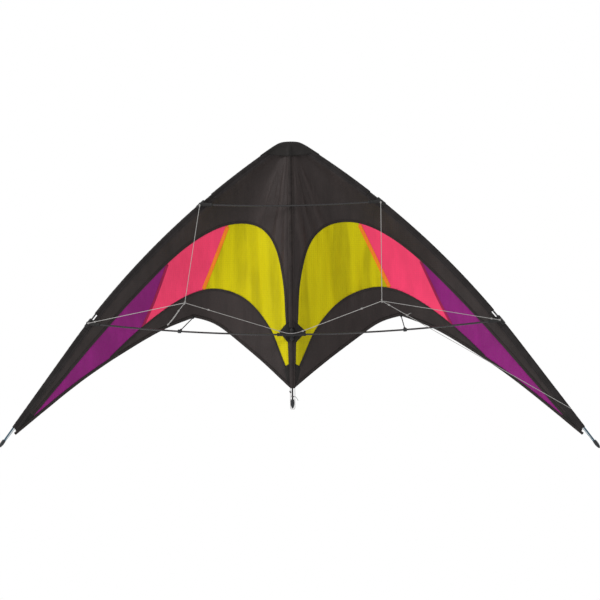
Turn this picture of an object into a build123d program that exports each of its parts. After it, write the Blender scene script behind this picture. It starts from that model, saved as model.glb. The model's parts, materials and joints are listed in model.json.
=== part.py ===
"""Delta stunt kite: a rod frame, a panelled sail in two wings, standoffs and a three-leg bridle.

Millimetres. +X runs across the span, +Y away from the bridle side, +Z towards the nose.
The spine's axis is the Z axis, and the nose is at Z = 0. Wings turn about the spine, so what
stays with the spine lies inside wing_clear behind it, and each wing lies outside that radius.
"""

import os
from math import cos, pi, radians, sin

from build123d import *

# Rods and their fits
rod_radius = 2.5
rod_bore = 1.5
standoff_radius = 1.5
grip_fit = 0.1            # radial, moulded fittings and fabric tunnels on a rod
swivel_fit = 0.05         # radial, standoff clip on the lower spreader
spigot_fit = 0.03         # radial, ferrule inside the leading-edge tubes
end_gap = 0.3             # rod end to the end of its socket, and rod end to rod end

# Leading edge, measured along its outer edge from the nose
lead_arc_length = 842.0
lead_straight_length = 296.0
lead_start_x = 27.4
lead_start_drop = 0.9
lead_start_angle = 57.5   # degrees off the spine
lead_end_angle = 36.8
upper_fitting_station = 288.0
lower_fitting_station = 762.0
ferrule_station = 800.0
ferrule_length = 64.0
lead_rod_overhang = 62.0  # rod beyond the sleeve's lower end

# Fabric
cloth = 0.8
tunnel_wall = 1.0
sleeve_width = 17.0
strip_half_width = 13.5
wing_clear = 14.3         # where each wing's cloth starts, off the spine's axis
seam_gap = 0.05           # sleeve edge to sail edge
sail_crown = 130.0        # how far the sail can belly behind the frame
crown_drop = 502.0
crown_sharpness = 6
hem_rise = 10.0
window_length = 36.0      # opening in a tunnel for a fitting
nose_patch_drop = 36.0
nose_patch_half_width = 82.0
strip_end_drop = 700.0
strip_start_drop = 24.0

# Spine, tail and nocks
spine_start_drop = 8.0
spine_tail_overhang = 46.0
nock_length = 26.0
nock_bore_depth = 16.0
nock_mouth_radius = 5.0
nock_swell_radius = 5.7
nock_tip_radius = 3.0

# Spreaders and fittings
spreader_offset = 9.0     # spreader axes in front of the spine's axis
tee_drop = 546.0
tee_hub_radius = 6.0
tee_hub_length = 34.0
tee_stub = 11.0
tee_arm_start = 15.0
tee_arm_length = 26.0
arm_radius = 4.8
upper_spreader_bow = 8.0
upper_spreader_lift = 3.6 # its middle stands this far forward, clear of the strip as a wing folds
lower_spreader_bow = 8.0
collar_radius = 5.6
collar_length = 30.0
socket_radius = 5.0
socket_length = 36.0
seat_gap = 0.3            # each side of the rod in the open seat

# Standoffs
standoff_x = 322.0
standoff_top_x = 303.0
standoff_top_drop = 496.0
standoff_gap = 1.5        # cap to sail
clip_radius = 5.2
clip_length = 10.0
clip_socket_length = 17.0
clip_socket_radius = 3.2
cap_length = 10.0
cap_depth = 7.0

# Bridle, leaders and lines
line_radius = 0.8
tow_x = 271.0
tow_reach = 190.0
tow_drop = 451.0
knot_radius = 4.0
inner_leg_x = 27.0
pigtail_x = 47.0
pigtail_drop = 59.0
leader_share = 0.13       # of the way from the tow point to the tip hitch
hitch_station = 1076.0

# Seams, drawn on a sail of this span and drop and stretched to fit the frame
pattern_span = 818.0
pattern_drop = 814.0
tip_zone = 790.0          # pattern points past this keep their distance from the tip
trailing_inner = [(8, 702), (98, 626), (188, 557), (246, 519), (303, 502)]
trailing_outer = [(303, 502), (398, 540), (486, 591), (590, 660), (678, 728), (804, 833), (860, 880)]
arch_top = [(16, 520), (17, 505), (21, 427), (32, 354), (61, 274), (100, 239), (148, 228), (188, 232),
            (266, 266), (324, 307), (411, 388), (542, 528), (661, 667), (759, 783), (830, 868)]
arch_low = [(8, 660), (20, 641), (41, 591), (59, 549), (80, 515), (110, 478), (147, 447), (190, 427),
            (245, 418), (313, 435), (389, 481), (464, 541), (556, 630), (640, 715)]
tee_patch = [(16, 520), (36, 541), (8, 572)]
yellow_seam = [(146, 139), (188, 232), (271, 418), (313, 512)]
pink_seam = [(340, 290), (367, 351), (413, 456), (446, 523), (480, 590)]
far_drop = 1100
far_span = 1000
inside_span = -20

tunnel_inner = rod_radius + grip_fit
tunnel_outer = tunnel_inner + tunnel_wall
sail_front = tunnel_outer - cloth
lead_radius = lead_arc_length / radians(lead_start_angle - lead_end_angle)
lead_length = lead_arc_length + lead_straight_length
across = Vector(1, 0, 0)
back = Vector(0, 1, 0)


def lead_direction(station):
    """Direction of the leading edge, nose to tip, at a length along it."""
    turn = min(station, lead_arc_length) / lead_radius
    angle = radians(lead_start_angle) - turn
    return Vector(sin(angle), 0, -cos(angle))


def lead_point(station, inset, y=0.0):
    """Point at a length along the leading edge, inset from its outer edge."""
    run = min(station, lead_arc_length)
    angle = radians(lead_start_angle) - run / lead_radius
    start = radians(lead_start_angle)
    centre = Vector(lead_start_x, 0, -lead_start_drop) - lead_radius * Vector(cos(start), 0, sin(start))
    point = centre + (lead_radius - inset) * Vector(cos(angle), 0, sin(angle))
    point += max(station - lead_arc_length, 0) * lead_direction(station)
    return point + y * back


def lead_path(first, last, inset):
    """Line along the leading edge between two stations."""
    pieces = []
    bend = min(last, lead_arc_length)
    if first < bend:
        middle = lead_point((first + bend) / 2, inset)
        pieces.append(ThreePointArc(lead_point(first, inset), middle, lead_point(bend, inset)))
    if last > lead_arc_length:
        start = max(first, lead_arc_length)
        pieces.append(Line(lead_point(start, inset), lead_point(last, inset)))
    return Wire([edge for piece in pieces for edge in piece.edges()])


def lead_plane(station, inset):
    """Plane across the leading edge: local x runs into the sail and local y backwards."""
    direction = lead_direction(station)
    inward = Vector(direction.Z, 0, -direction.X)
    return Plane(origin=lead_point(station, inset), x_dir=inward, z_dir=direction)


def rod_between(start, end, radius):
    """Round bar between two points."""
    run = Vector(end) - Vector(start)
    return Solid.make_cylinder(radius, run.length, Plane(origin=start, z_dir=run))


def tube_between(start, end, radius, bore):
    """Round tube between two points."""
    return rod_between(start, end, radius) - rod_between(start, end, bore)


def swept_tube(path, radius, bore):
    """Round tube along a path."""
    section = Plane(origin=path @ 0, z_dir=path % 0) * (Circle(radius) - Circle(bore))
    return sweep(section.face(), path=path)


def pattern_point(point):
    """Seam pattern point, stretched to the frame and set in front of the sail."""
    tip = lead_point(lead_length, 0)
    if point[0] > tip_zone:
        return Vector(tip.X + point[0] - pattern_span, -1, tip.Z + pattern_drop - point[1])
    return Vector(point[0] * tip.X / pattern_span, -1, point[1] * tip.Z / pattern_drop)


def region(edges, corners):
    """Prism through the sail, bounded by seam edges and closed by straight corners."""
    outline = list(edges)
    closing = [outline[-1] @ 1] + [pattern_point(corner) for corner in corners] + [outline[0] @ 0]
    outline.append(Polyline(*closing))
    face = make_face(Wire([edge for piece in outline for edge in piece.edges()]))
    return extrude(face, amount=2 * sail_crown, dir=(0, 1, 0))


def seam(points):
    """Smooth seam through pattern points."""
    return Spline(*[pattern_point(point) for point in points])


def sail_sheet():
    """One wing's cloth before its panels are cut: a shell bellied between spine and leading edge."""
    rows = 19
    columns = 11
    grid = []
    for row in range(rows):
        station = (lead_length + 2 * sleeve_width) * row / (rows - 1)
        edge = lead_point(station, sleeve_width)
        share = -edge.Z / crown_drop
        crown = sail_crown * share / (1 + share ** crown_sharpness) ** (1 / crown_sharpness)
        line = []
        for column in range(columns):
            part_way = column / (columns - 1)
            x = wing_clear + part_way * (edge.X - wing_clear)
            line.append(Vector(x, sail_front + crown * sin(pi * part_way), edge.Z))
        grid.append(line)
    return extrude(Face.make_surface_from_array_of_points(grid), amount=cloth, dir=(0, 1, 0))


def sail_panels():
    """The panels of the right wing, cut from one sheet along shared seams."""
    beyond = [(far_span, 880), (far_span, far_drop), (inside_span, far_drop), (inside_span, 702)]
    below = region([seam(trailing_inner), seam(trailing_outer)], beyond)
    hem_cut = Pos(0, 0, hem_rise) * below
    under_arch = region([seam(arch_low)], [(640, far_drop), (inside_span, far_drop)])
    patch_line = Polyline(*[pattern_point(point) for point in tee_patch[::-1]])
    corners = [(far_span, 868), (far_span, far_drop), (inside_span, far_drop), (inside_span, 572)]
    band_cut = region([patch_line, seam(arch_top)], corners)
    yellow_line = Polyline(*[pattern_point(point) for point in yellow_seam])
    yellow_cut = region([yellow_line], [(313, far_drop), (inside_span, far_drop), (inside_span, 139)])
    pink_line = Polyline(*[pattern_point(point) for point in pink_seam])
    pink_cut = region([pink_line], [(480, far_drop), (inside_span, far_drop), (inside_span, 290),
                                    (inside_span, 100), (340, 100)])
    tip_plane = lead_plane(lead_length - 62, 0)
    tip_cut = tip_plane * Pos(20, 0, 100) * Box(140, 80, 200)
    whole = sail_sheet() - below
    cloth_body = whole - hem_cut
    above = cloth_body - under_arch
    band = above & band_cut
    black = above - band_cut
    right_of_yellow = band - yellow_cut
    return {
        "trailing_hem": whole & hem_cut,
        "lower_panel": cloth_body & under_arch,
        "yellow_panel": band & yellow_cut,
        "pink_panel": right_of_yellow & pink_cut,
        "purple_panel": right_of_yellow - pink_cut,
        "upper_panel": black - tip_cut,
        "tip_patch": black & tip_cut,
    }


def leading_sleeve():
    """Tunnel round the leading-edge rod with its stitched flange, open at both fittings."""
    flange_width = sleeve_width - tunnel_outer - seam_gap
    flange = Pos(flange_width / 2, tunnel_outer - tunnel_wall / 2) * Rectangle(flange_width, tunnel_wall)
    section = lead_plane(0, tunnel_outer) * (Circle(tunnel_outer) + flange - Circle(tunnel_inner))
    sleeve = sweep(section.face(), path=lead_path(0, lead_length, tunnel_outer))
    for station in (upper_fitting_station, lower_fitting_station):
        window = Pos(-0.4, 0, 0) * Box(2 * collar_radius + 2.2, 4 * tunnel_outer, window_length)
        sleeve -= lead_plane(station, tunnel_outer) * window
    return sleeve


def nock():
    """Push-on end cap: mouth at z = 0, rounded tip with a notch for the tension line."""
    bore = rod_radius + grip_fit
    tip = nock_length - nock_tip_radius
    side = Spline((nock_mouth_radius, 0, 0), (nock_swell_radius, 0, nock_length * 0.3),
                  (nock_tip_radius, 0, tip))
    nose = ThreePointArc((nock_tip_radius, 0, tip), (nock_tip_radius * 0.7, 0, tip + nock_tip_radius * 0.7),
                         (0, 0, nock_length))
    inside = Polyline((0, 0, nock_length), (0, 0, nock_bore_depth), (bore, 0, nock_bore_depth),
                      (bore, 0, 0), (nock_mouth_radius, 0, 0))
    profile = make_face(Wire(side.edges() + nose.edges() + inside.edges()))
    body = revolve(profile, Axis.Z)
    notch = Pos(0, 0, nock_length) * Box(2 * line_radius + 0.4, 4 * nock_tip_radius, 3.2)
    return body - notch


def bowed_path(inner, outer, bow):
    """Arc between two spreader ends, bowed down by a set height."""
    middle = (Vector(inner) + Vector(outer)) * 0.5 - Vector(0, 0, bow)
    return ThreePointArc(inner, middle, outer)


def spreader_fitting(station, end, direction, open_front):
    """Moulded fitting: a collar on the leading-edge rod and a blind socket for a spreader."""
    along = lead_direction(station)
    centre = lead_point(station, tunnel_outer)
    half = along * (collar_length / 2)
    collar_bore = rod_radius + grip_fit
    socket_bore = rod_radius + (seat_gap if open_front else grip_fit)
    collar = rod_between(centre - half, centre + half, collar_radius)
    socket = rod_between(end + direction * 3, end - direction * socket_length, socket_radius)
    body = collar + socket
    body -= rod_between(centre - half * 2, centre + half * 2, collar_bore)
    body -= rod_between(end + direction * end_gap, end - direction * 2 * socket_length, socket_bore)
    if open_front:
        seat = Plane(origin=end + direction * (end_gap + seat_gap), x_dir=-direction, z_dir=-back)
        width = 2 * (rod_radius + seat_gap)
        body -= seat * Pos(socket_length, 0, socket_radius) * Box(2 * socket_length, width, 2 * socket_radius)
    return body


def spreader_end(station):
    """Point on the spreader's axis in front of the leading-edge rod."""
    return lead_point(station, tunnel_outer, -spreader_offset)


def upper_spreader_path():
    """Arc of the upper spreader from the left fitting to the right one."""
    right = spreader_end(upper_fitting_station)
    left = Vector(-right.X, right.Y, right.Z)
    middle = Vector(0, right.Y - upper_spreader_lift, right.Z - upper_spreader_bow)
    return ThreePointArc(left, middle, right)


def lower_spreader_path():
    """Arc of the right lower spreader from the centre tee to its fitting."""
    inner = Vector(tee_arm_start + 2, -spreader_offset, -tee_drop)
    return bowed_path(inner, spreader_end(lower_fitting_station), lower_spreader_bow)


def path_at_x(path, x):
    """Point and direction where a spreader's path passes a distance across."""
    low, high = 0.0, 1.0
    for _ in range(40):
        middle = (low + high) / 2
        if (path @ middle).X < x:
            low = middle
        else:
            high = middle
    return path @ low, path % low


def standoff(sheet):
    """Standoff parts: clip on the lower spreader, rod, and cap short of the sail."""
    hub, axis = path_at_x(lower_spreader_path(), standoff_x)
    ray = Line((standoff_top_x, -1, -standoff_top_drop), (standoff_top_x, 2 * sail_crown, -standoff_top_drop))
    sail_y = min(vertex.Y for vertex in (ray & sheet).vertices())
    target = Vector(standoff_top_x, sail_y - standoff_gap, -standoff_top_drop)
    reach = (target - hub).length
    aim = (target - hub).normalized()
    ring = rod_between(hub - axis * (clip_length / 2), hub + axis * (clip_length / 2), clip_radius)
    ring += rod_between(hub + aim * rod_radius, hub + aim * clip_socket_length, clip_socket_radius)
    ring -= rod_between(hub - axis * clip_length, hub + axis * clip_length, rod_radius + swivel_fit)
    seat = clip_radius + 1
    ring -= rod_between(hub + aim * seat, hub + aim * 2 * clip_socket_length, standoff_radius + grip_fit)
    rod = rod_between(hub + aim * (seat + end_gap), hub + aim * (reach - cap_length + cap_depth - end_gap),
                      standoff_radius)
    cap = rod_between(hub + aim * (reach - cap_length), hub + aim * reach, clip_socket_radius)
    cap -= rod_between(hub + aim * (reach - 2 * cap_length), hub + aim * (reach - cap_length + cap_depth),
                       standoff_radius + grip_fit)
    return {"standoff_clip": ring, "standoff_rod": rod, "standoff_cap": cap}


def wing_frame():
    """Rods, fittings and nock of the right wing, but for the upper fitting."""
    axis_inset = tunnel_outer
    rod_end = lead_length + lead_rod_overhang
    ferrule_half = ferrule_length / 2
    upper_path = lead_path(2, ferrule_station, axis_inset)
    lower_path = lead_path(ferrule_station + end_gap, rod_end, axis_inset)
    ferrule_path = lead_path(ferrule_station - ferrule_half, ferrule_station + ferrule_half, axis_inset)
    ferrule_plane = Plane(origin=ferrule_path @ 0, z_dir=ferrule_path % 0)
    spreader = lower_spreader_path()
    inner, heading = spreader @ 0, spreader % 0
    arm_start = inner - heading * 2
    arm_end = arm_start + heading * tee_arm_length
    mouth = lead_plane(rod_end - nock_bore_depth + end_gap, axis_inset)
    return {
        "upper_leading_rod": swept_tube(upper_path, rod_radius, rod_bore),
        "lower_leading_rod": swept_tube(lower_path, rod_radius, rod_bore),
        "leading_ferrule": sweep((ferrule_plane * Circle(rod_bore - spigot_fit)).face(), path=ferrule_path),
        "tip_nock": mouth * Rot(0, 0, 90) * nock(),
        "lower_spreader": swept_tube(spreader, rod_radius, rod_bore),
        "tee_arm": tube_between(arm_start, arm_end, arm_radius, rod_radius + grip_fit),
        "lower_fitting": spreader_fitting(lower_fitting_station, spreader @ 1, spreader % 1, False),
    }


def nose_plate():
    """Front half of the nose patch over one wing's leading-edge rod."""
    front = -tunnel_outer - grip_fit
    inner = wing_clear + 0.6
    outline = Polyline((inner, front, 0), (lead_start_x, front, 0),
                       (nose_patch_half_width, front, -nose_patch_drop), (inner, front, -nose_patch_drop),
                       close=True)
    return extrude(make_face(outline), amount=tunnel_wall, dir=(0, -1, 0))


def bridle_legs():
    """The right bridle's three straight legs, each ending in the tow knot."""
    tow = Vector(tow_x, -tow_reach, -tow_drop)
    front = -back * socket_radius
    starts = {
        "upper_leg": spreader_end(upper_fitting_station) + front,
        "lower_leg": spreader_end(lower_fitting_station) + front,
        "inner_leg": Vector(inner_leg_x, -spreader_offset - arm_radius + line_radius / 2, -tee_drop),
    }
    legs = {}
    for name, start in starts.items():
        toward = (tow - start).normalized()
        legs[name] = rod_between(start, tow - toward * (knot_radius - line_radius), line_radius)
    return legs


def leader(end):
    """Leader: tow knot, a short straight lead and its own end knot."""
    tow = Vector(tow_x, -tow_reach, -tow_drop)
    tow_knot = Pos(tow) * Sphere(knot_radius)
    end_knot = Pos(end) * Sphere(knot_radius * 0.6)
    return tow_knot + rod_between(tow, end, line_radius) + end_knot


def centre_strip():
    """Spine tunnel with its flat flange, open round the centre tee."""
    flange = Pos(0, tunnel_outer - tunnel_wall / 2) * Rectangle(2 * strip_half_width, tunnel_wall)
    section = Circle(tunnel_outer) + flange - Circle(tunnel_inner)
    length = strip_end_drop - strip_start_drop
    strip = Pos(0, 0, -strip_end_drop) * extrude(section, amount=length)
    window = Pos(0, 0, -tee_drop) * Box(2 * tee_hub_radius + 3, 8 * tunnel_outer, tee_hub_length + 10)
    return strip - window


def tee_hub():
    """Centre tee: a collar on the spine with a stub towards each flexible arm."""
    hub = Pos(0, 0, -tee_drop) * Cylinder(tee_hub_radius, tee_hub_length)
    stub_start = Vector(-tee_stub, -spreader_offset, -tee_drop)
    hub += rod_between(stub_start, stub_start + across * (2 * tee_stub), arm_radius)
    hub -= Pos(0, 0, -tee_drop) * Cylinder(rod_radius + grip_fit, 2 * tee_hub_length)
    return hub


def nose_patch():
    """Centre of the nose patch: a pocket folded over the spine's top."""
    depth = tunnel_outer + grip_fit
    pocket = Pos(0, 0, -nose_patch_drop / 2) * Box(2 * strip_half_width, 2 * (depth + tunnel_wall), nose_patch_drop)
    hollow = Pos(0, 0, -nose_patch_drop / 2 - tunnel_wall) * Box(3 * strip_half_width, 2 * depth, nose_patch_drop)
    return pocket - hollow


def tail_line():
    """Tension loop from the strip's lower corners round the tail nock."""
    side = nock_swell_radius + 2 * line_radius
    low = -strip_end_drop - spine_tail_overhang - nock_length + nock_bore_depth - 2
    path = FilletPolyline((-side, sail_front, -strip_end_drop), (-side, sail_front, low),
                          (side, sail_front, low), (side, sail_front, -strip_end_drop), radius=side * 0.8)
    section = Plane(origin=path @ 0, z_dir=path % 0) * Circle(line_radius)
    return sweep(section.face(), path=path)


def mirrored(solid):
    """The same solid on the left wing."""
    return mirror(solid, about=Plane.YZ)


spine_end = strip_end_drop + spine_tail_overhang
nodes = {
    "spine_rod": tube_between((0, 0, -spine_end), (0, 0, -spine_start_drop), rod_radius, rod_bore),
    "tail_nock": Pos(0, 0, -spine_end + nock_bore_depth - end_gap) * Rot(180, 0, 0) * nock(),
    "tail_line": tail_line(),
    "centre_strip": centre_strip(),
    "centre_tee": tee_hub(),
    "nose_patch": nose_patch(),
    "upper_spreader": swept_tube(upper_spreader_path(), rod_radius, rod_bore),
}

pair = sail_panels()
pair.update(wing_frame())
pair.update(standoff(sail_sheet()))
pair.update(bridle_legs())
pair["leading_sleeve"] = leading_sleeve()
pair["nose_plate"] = nose_plate()
line_end = lead_length + lead_rod_overhang + nock_length - nock_bore_depth - nock_tip_radius
tip_corner = lead_point(lead_length, sleeve_width - 4, sail_front)
pair["tip_line"] = rod_between(tip_corner, lead_point(line_end, tunnel_outer + nock_tip_radius), line_radius)
for name, solid in pair.items():
    nodes["right_" + name] = solid
    nodes["left_" + name] = mirrored(solid)

fitting_end = upper_spreader_path() @ 1
fitting_heading = upper_spreader_path() % 1
closed_fitting = spreader_fitting(upper_fitting_station, fitting_end, fitting_heading, False)
nodes["left_upper_fitting"] = mirrored(closed_fitting)
nodes["right_upper_fitting"] = spreader_fitting(upper_fitting_station, fitting_end, fitting_heading, True)

tow_point = Vector(tow_x, -tow_reach, -tow_drop)
hitch = lead_point(hitch_station, 0, -tunnel_outer)
leader_end = tow_point + (hitch - tow_point) * leader_share
pigtail_end = tow_point + Vector(pigtail_x, 0, -pigtail_drop)
nodes["right_leader"] = leader(leader_end)
nodes["left_leader"] = mirrored(leader(pigtail_end))
line_start = leader_end + (hitch - leader_end).normalized() * (knot_radius * 0.6)
nodes["flying_line"] = rod_between(line_start, hitch + Vector(-2, 0, 0), line_radius)

os.makedirs("parts", exist_ok=True)
for name, solid in sorted(nodes.items()):
    export_step(solid, "parts/" + name + ".step")
print(len(nodes), "nodes,", "lead radius", round(lead_radius), "spine", spine_end - spine_start_drop)
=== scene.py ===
"""Looks of a delta stunt kite: cloth, rods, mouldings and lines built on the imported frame.

Metres, in the frame's own axes: +X across the span, +Y away from the bridle, +Z to the nose.
"""

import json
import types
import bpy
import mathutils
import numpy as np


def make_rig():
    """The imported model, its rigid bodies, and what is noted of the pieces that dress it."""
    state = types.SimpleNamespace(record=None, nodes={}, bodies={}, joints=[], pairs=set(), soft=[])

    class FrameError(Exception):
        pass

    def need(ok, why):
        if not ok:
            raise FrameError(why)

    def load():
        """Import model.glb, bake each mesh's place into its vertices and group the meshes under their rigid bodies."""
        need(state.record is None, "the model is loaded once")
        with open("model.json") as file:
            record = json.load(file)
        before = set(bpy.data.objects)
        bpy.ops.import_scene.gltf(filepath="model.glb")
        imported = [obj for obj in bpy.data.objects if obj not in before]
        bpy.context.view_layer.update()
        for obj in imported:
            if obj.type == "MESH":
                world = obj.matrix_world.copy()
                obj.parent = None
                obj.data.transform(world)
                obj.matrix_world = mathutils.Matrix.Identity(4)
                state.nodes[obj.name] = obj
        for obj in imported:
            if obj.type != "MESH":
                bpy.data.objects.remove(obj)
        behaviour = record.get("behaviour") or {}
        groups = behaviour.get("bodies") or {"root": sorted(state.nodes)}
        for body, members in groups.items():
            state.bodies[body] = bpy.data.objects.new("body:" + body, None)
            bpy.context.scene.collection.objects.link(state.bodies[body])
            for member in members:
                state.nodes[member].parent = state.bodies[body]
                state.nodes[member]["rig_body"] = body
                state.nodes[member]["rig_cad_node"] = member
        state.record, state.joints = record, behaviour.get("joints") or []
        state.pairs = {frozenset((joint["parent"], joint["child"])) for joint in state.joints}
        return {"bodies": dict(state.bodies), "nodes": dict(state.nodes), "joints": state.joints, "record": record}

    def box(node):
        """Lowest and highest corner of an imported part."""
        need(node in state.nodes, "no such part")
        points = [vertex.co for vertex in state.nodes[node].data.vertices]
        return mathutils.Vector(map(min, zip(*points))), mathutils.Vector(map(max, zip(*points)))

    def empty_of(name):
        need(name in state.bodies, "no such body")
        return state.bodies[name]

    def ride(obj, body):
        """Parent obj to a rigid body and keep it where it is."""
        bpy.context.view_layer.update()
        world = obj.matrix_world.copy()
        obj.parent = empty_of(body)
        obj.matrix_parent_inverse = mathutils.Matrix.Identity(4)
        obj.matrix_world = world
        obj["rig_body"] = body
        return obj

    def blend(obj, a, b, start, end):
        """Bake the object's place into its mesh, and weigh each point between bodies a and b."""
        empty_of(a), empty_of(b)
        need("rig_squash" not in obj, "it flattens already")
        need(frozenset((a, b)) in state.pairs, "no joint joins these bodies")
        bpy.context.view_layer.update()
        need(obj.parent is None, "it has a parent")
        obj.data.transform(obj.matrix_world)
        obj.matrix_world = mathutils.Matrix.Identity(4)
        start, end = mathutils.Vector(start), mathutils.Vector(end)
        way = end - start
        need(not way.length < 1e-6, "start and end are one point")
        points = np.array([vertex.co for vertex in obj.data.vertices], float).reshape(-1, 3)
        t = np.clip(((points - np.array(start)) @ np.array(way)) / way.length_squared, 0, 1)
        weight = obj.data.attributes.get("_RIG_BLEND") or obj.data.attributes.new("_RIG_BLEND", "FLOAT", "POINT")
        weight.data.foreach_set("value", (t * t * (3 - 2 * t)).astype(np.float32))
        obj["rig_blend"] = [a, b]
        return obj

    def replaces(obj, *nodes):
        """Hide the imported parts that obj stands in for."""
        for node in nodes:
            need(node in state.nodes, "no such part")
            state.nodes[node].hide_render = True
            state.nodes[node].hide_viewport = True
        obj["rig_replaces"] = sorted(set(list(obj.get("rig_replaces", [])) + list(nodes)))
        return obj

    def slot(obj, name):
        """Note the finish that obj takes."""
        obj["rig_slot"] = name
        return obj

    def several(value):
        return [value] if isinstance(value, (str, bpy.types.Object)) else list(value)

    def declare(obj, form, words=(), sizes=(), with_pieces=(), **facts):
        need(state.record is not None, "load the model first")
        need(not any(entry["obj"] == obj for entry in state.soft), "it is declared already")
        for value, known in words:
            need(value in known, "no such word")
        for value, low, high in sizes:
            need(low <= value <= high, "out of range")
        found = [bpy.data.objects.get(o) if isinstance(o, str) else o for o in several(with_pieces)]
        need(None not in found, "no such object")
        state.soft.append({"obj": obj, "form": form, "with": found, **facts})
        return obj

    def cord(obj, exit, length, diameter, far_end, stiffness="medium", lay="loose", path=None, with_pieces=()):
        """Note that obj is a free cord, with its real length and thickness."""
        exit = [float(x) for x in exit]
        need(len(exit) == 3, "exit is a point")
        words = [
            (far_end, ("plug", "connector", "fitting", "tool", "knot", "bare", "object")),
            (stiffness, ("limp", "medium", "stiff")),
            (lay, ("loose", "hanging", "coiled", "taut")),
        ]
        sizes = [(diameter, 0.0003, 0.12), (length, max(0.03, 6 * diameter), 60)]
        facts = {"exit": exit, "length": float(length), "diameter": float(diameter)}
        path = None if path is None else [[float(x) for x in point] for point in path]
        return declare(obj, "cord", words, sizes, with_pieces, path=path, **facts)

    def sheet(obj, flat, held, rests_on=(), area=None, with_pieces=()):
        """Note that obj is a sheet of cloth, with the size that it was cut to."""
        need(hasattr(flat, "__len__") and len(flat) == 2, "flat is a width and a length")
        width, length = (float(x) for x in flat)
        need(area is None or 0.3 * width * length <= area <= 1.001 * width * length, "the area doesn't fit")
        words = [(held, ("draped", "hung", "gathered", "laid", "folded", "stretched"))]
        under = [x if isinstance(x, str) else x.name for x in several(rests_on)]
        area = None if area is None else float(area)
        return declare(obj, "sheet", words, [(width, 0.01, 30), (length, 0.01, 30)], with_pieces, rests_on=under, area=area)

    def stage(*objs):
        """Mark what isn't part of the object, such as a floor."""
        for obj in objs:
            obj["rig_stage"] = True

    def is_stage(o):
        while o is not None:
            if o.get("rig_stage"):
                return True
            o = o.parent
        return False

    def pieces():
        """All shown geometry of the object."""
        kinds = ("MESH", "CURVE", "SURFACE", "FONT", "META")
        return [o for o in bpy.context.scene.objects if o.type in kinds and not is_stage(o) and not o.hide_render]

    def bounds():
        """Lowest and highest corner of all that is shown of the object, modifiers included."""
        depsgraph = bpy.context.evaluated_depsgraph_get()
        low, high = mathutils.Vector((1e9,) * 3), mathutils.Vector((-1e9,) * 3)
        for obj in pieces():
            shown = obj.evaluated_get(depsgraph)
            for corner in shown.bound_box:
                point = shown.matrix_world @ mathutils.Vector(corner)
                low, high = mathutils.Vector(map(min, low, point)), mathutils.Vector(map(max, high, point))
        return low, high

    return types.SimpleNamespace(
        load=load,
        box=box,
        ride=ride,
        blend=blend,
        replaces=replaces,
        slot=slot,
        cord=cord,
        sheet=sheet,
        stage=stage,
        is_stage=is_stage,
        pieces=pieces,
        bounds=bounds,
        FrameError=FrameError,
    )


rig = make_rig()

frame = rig.load()

import json
import logging
from dataclasses import dataclass
from enum import Enum
from math import cos, pi, radians, sin

import bpy
import numpy as np
from mathutils import Matrix, Vector, geometry

CAD_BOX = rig.bounds()
LOG = logging.getLogger("kite")
# CAD slot of each finish that isn't named after one.
SLOTS = {"orange_overlap": "yellow_ripstop", "magenta_overlap": "purple_ripstop", "tunnel": "binding",
         "patch": "binding", "hem": "binding", "seam": "binding", "spine_rod": "rod", "tip_line": "tension_line",
         "dark_line": "tension_line"}
Colour = tuple[float, float, float]
Point = tuple[float, float, float]
Outline = tuple[tuple[float, float], ...]
Shape = tuple[np.ndarray, list]
Material = bpy.types.Material
Piece = bpy.types.Object
Socket = bpy.types.NodeSocket


class Side(Enum):
    """A wing, with the sign of its X."""

    LEFT = -1
    RIGHT = 1

    @property
    def label(self) -> str:
        """Name prefix of the wing's nodes."""
        return self.name.lower() + "_"

    @property
    def wing(self) -> str:
        """Body the wing's pieces ride on."""
        return self.label + "wing"

    @property
    def standoff(self) -> str:
        """Body the standoff's pieces ride on."""
        return self.label + "standoff"


class Cloth(Enum):
    """Which panel of a wing a piece of cloth belongs to."""

    UPPER = "upper_panel"
    YELLOW = "yellow_panel"
    PINK = "pink_panel"
    PURPLE = "purple_panel"
    LOWER = "lower_panel"
    HEM = "trailing_hem"
    TIP = "tip_patch"
    TEE = "tee_patch"
    TAIL = "tail_patch"
    NONE = ""

    @property
    def finish(self) -> str:
        """Name of the panel's finish."""
        return {"UPPER": "black_ripstop", "LOWER": "black_ripstop", "YELLOW": "yellow_ripstop",
                "PINK": "pink_ripstop", "PURPLE": "purple_ripstop", "HEM": "hem"}.get(self.name, "patch")


# ---------------------------------------------------------------- shader building


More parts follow.
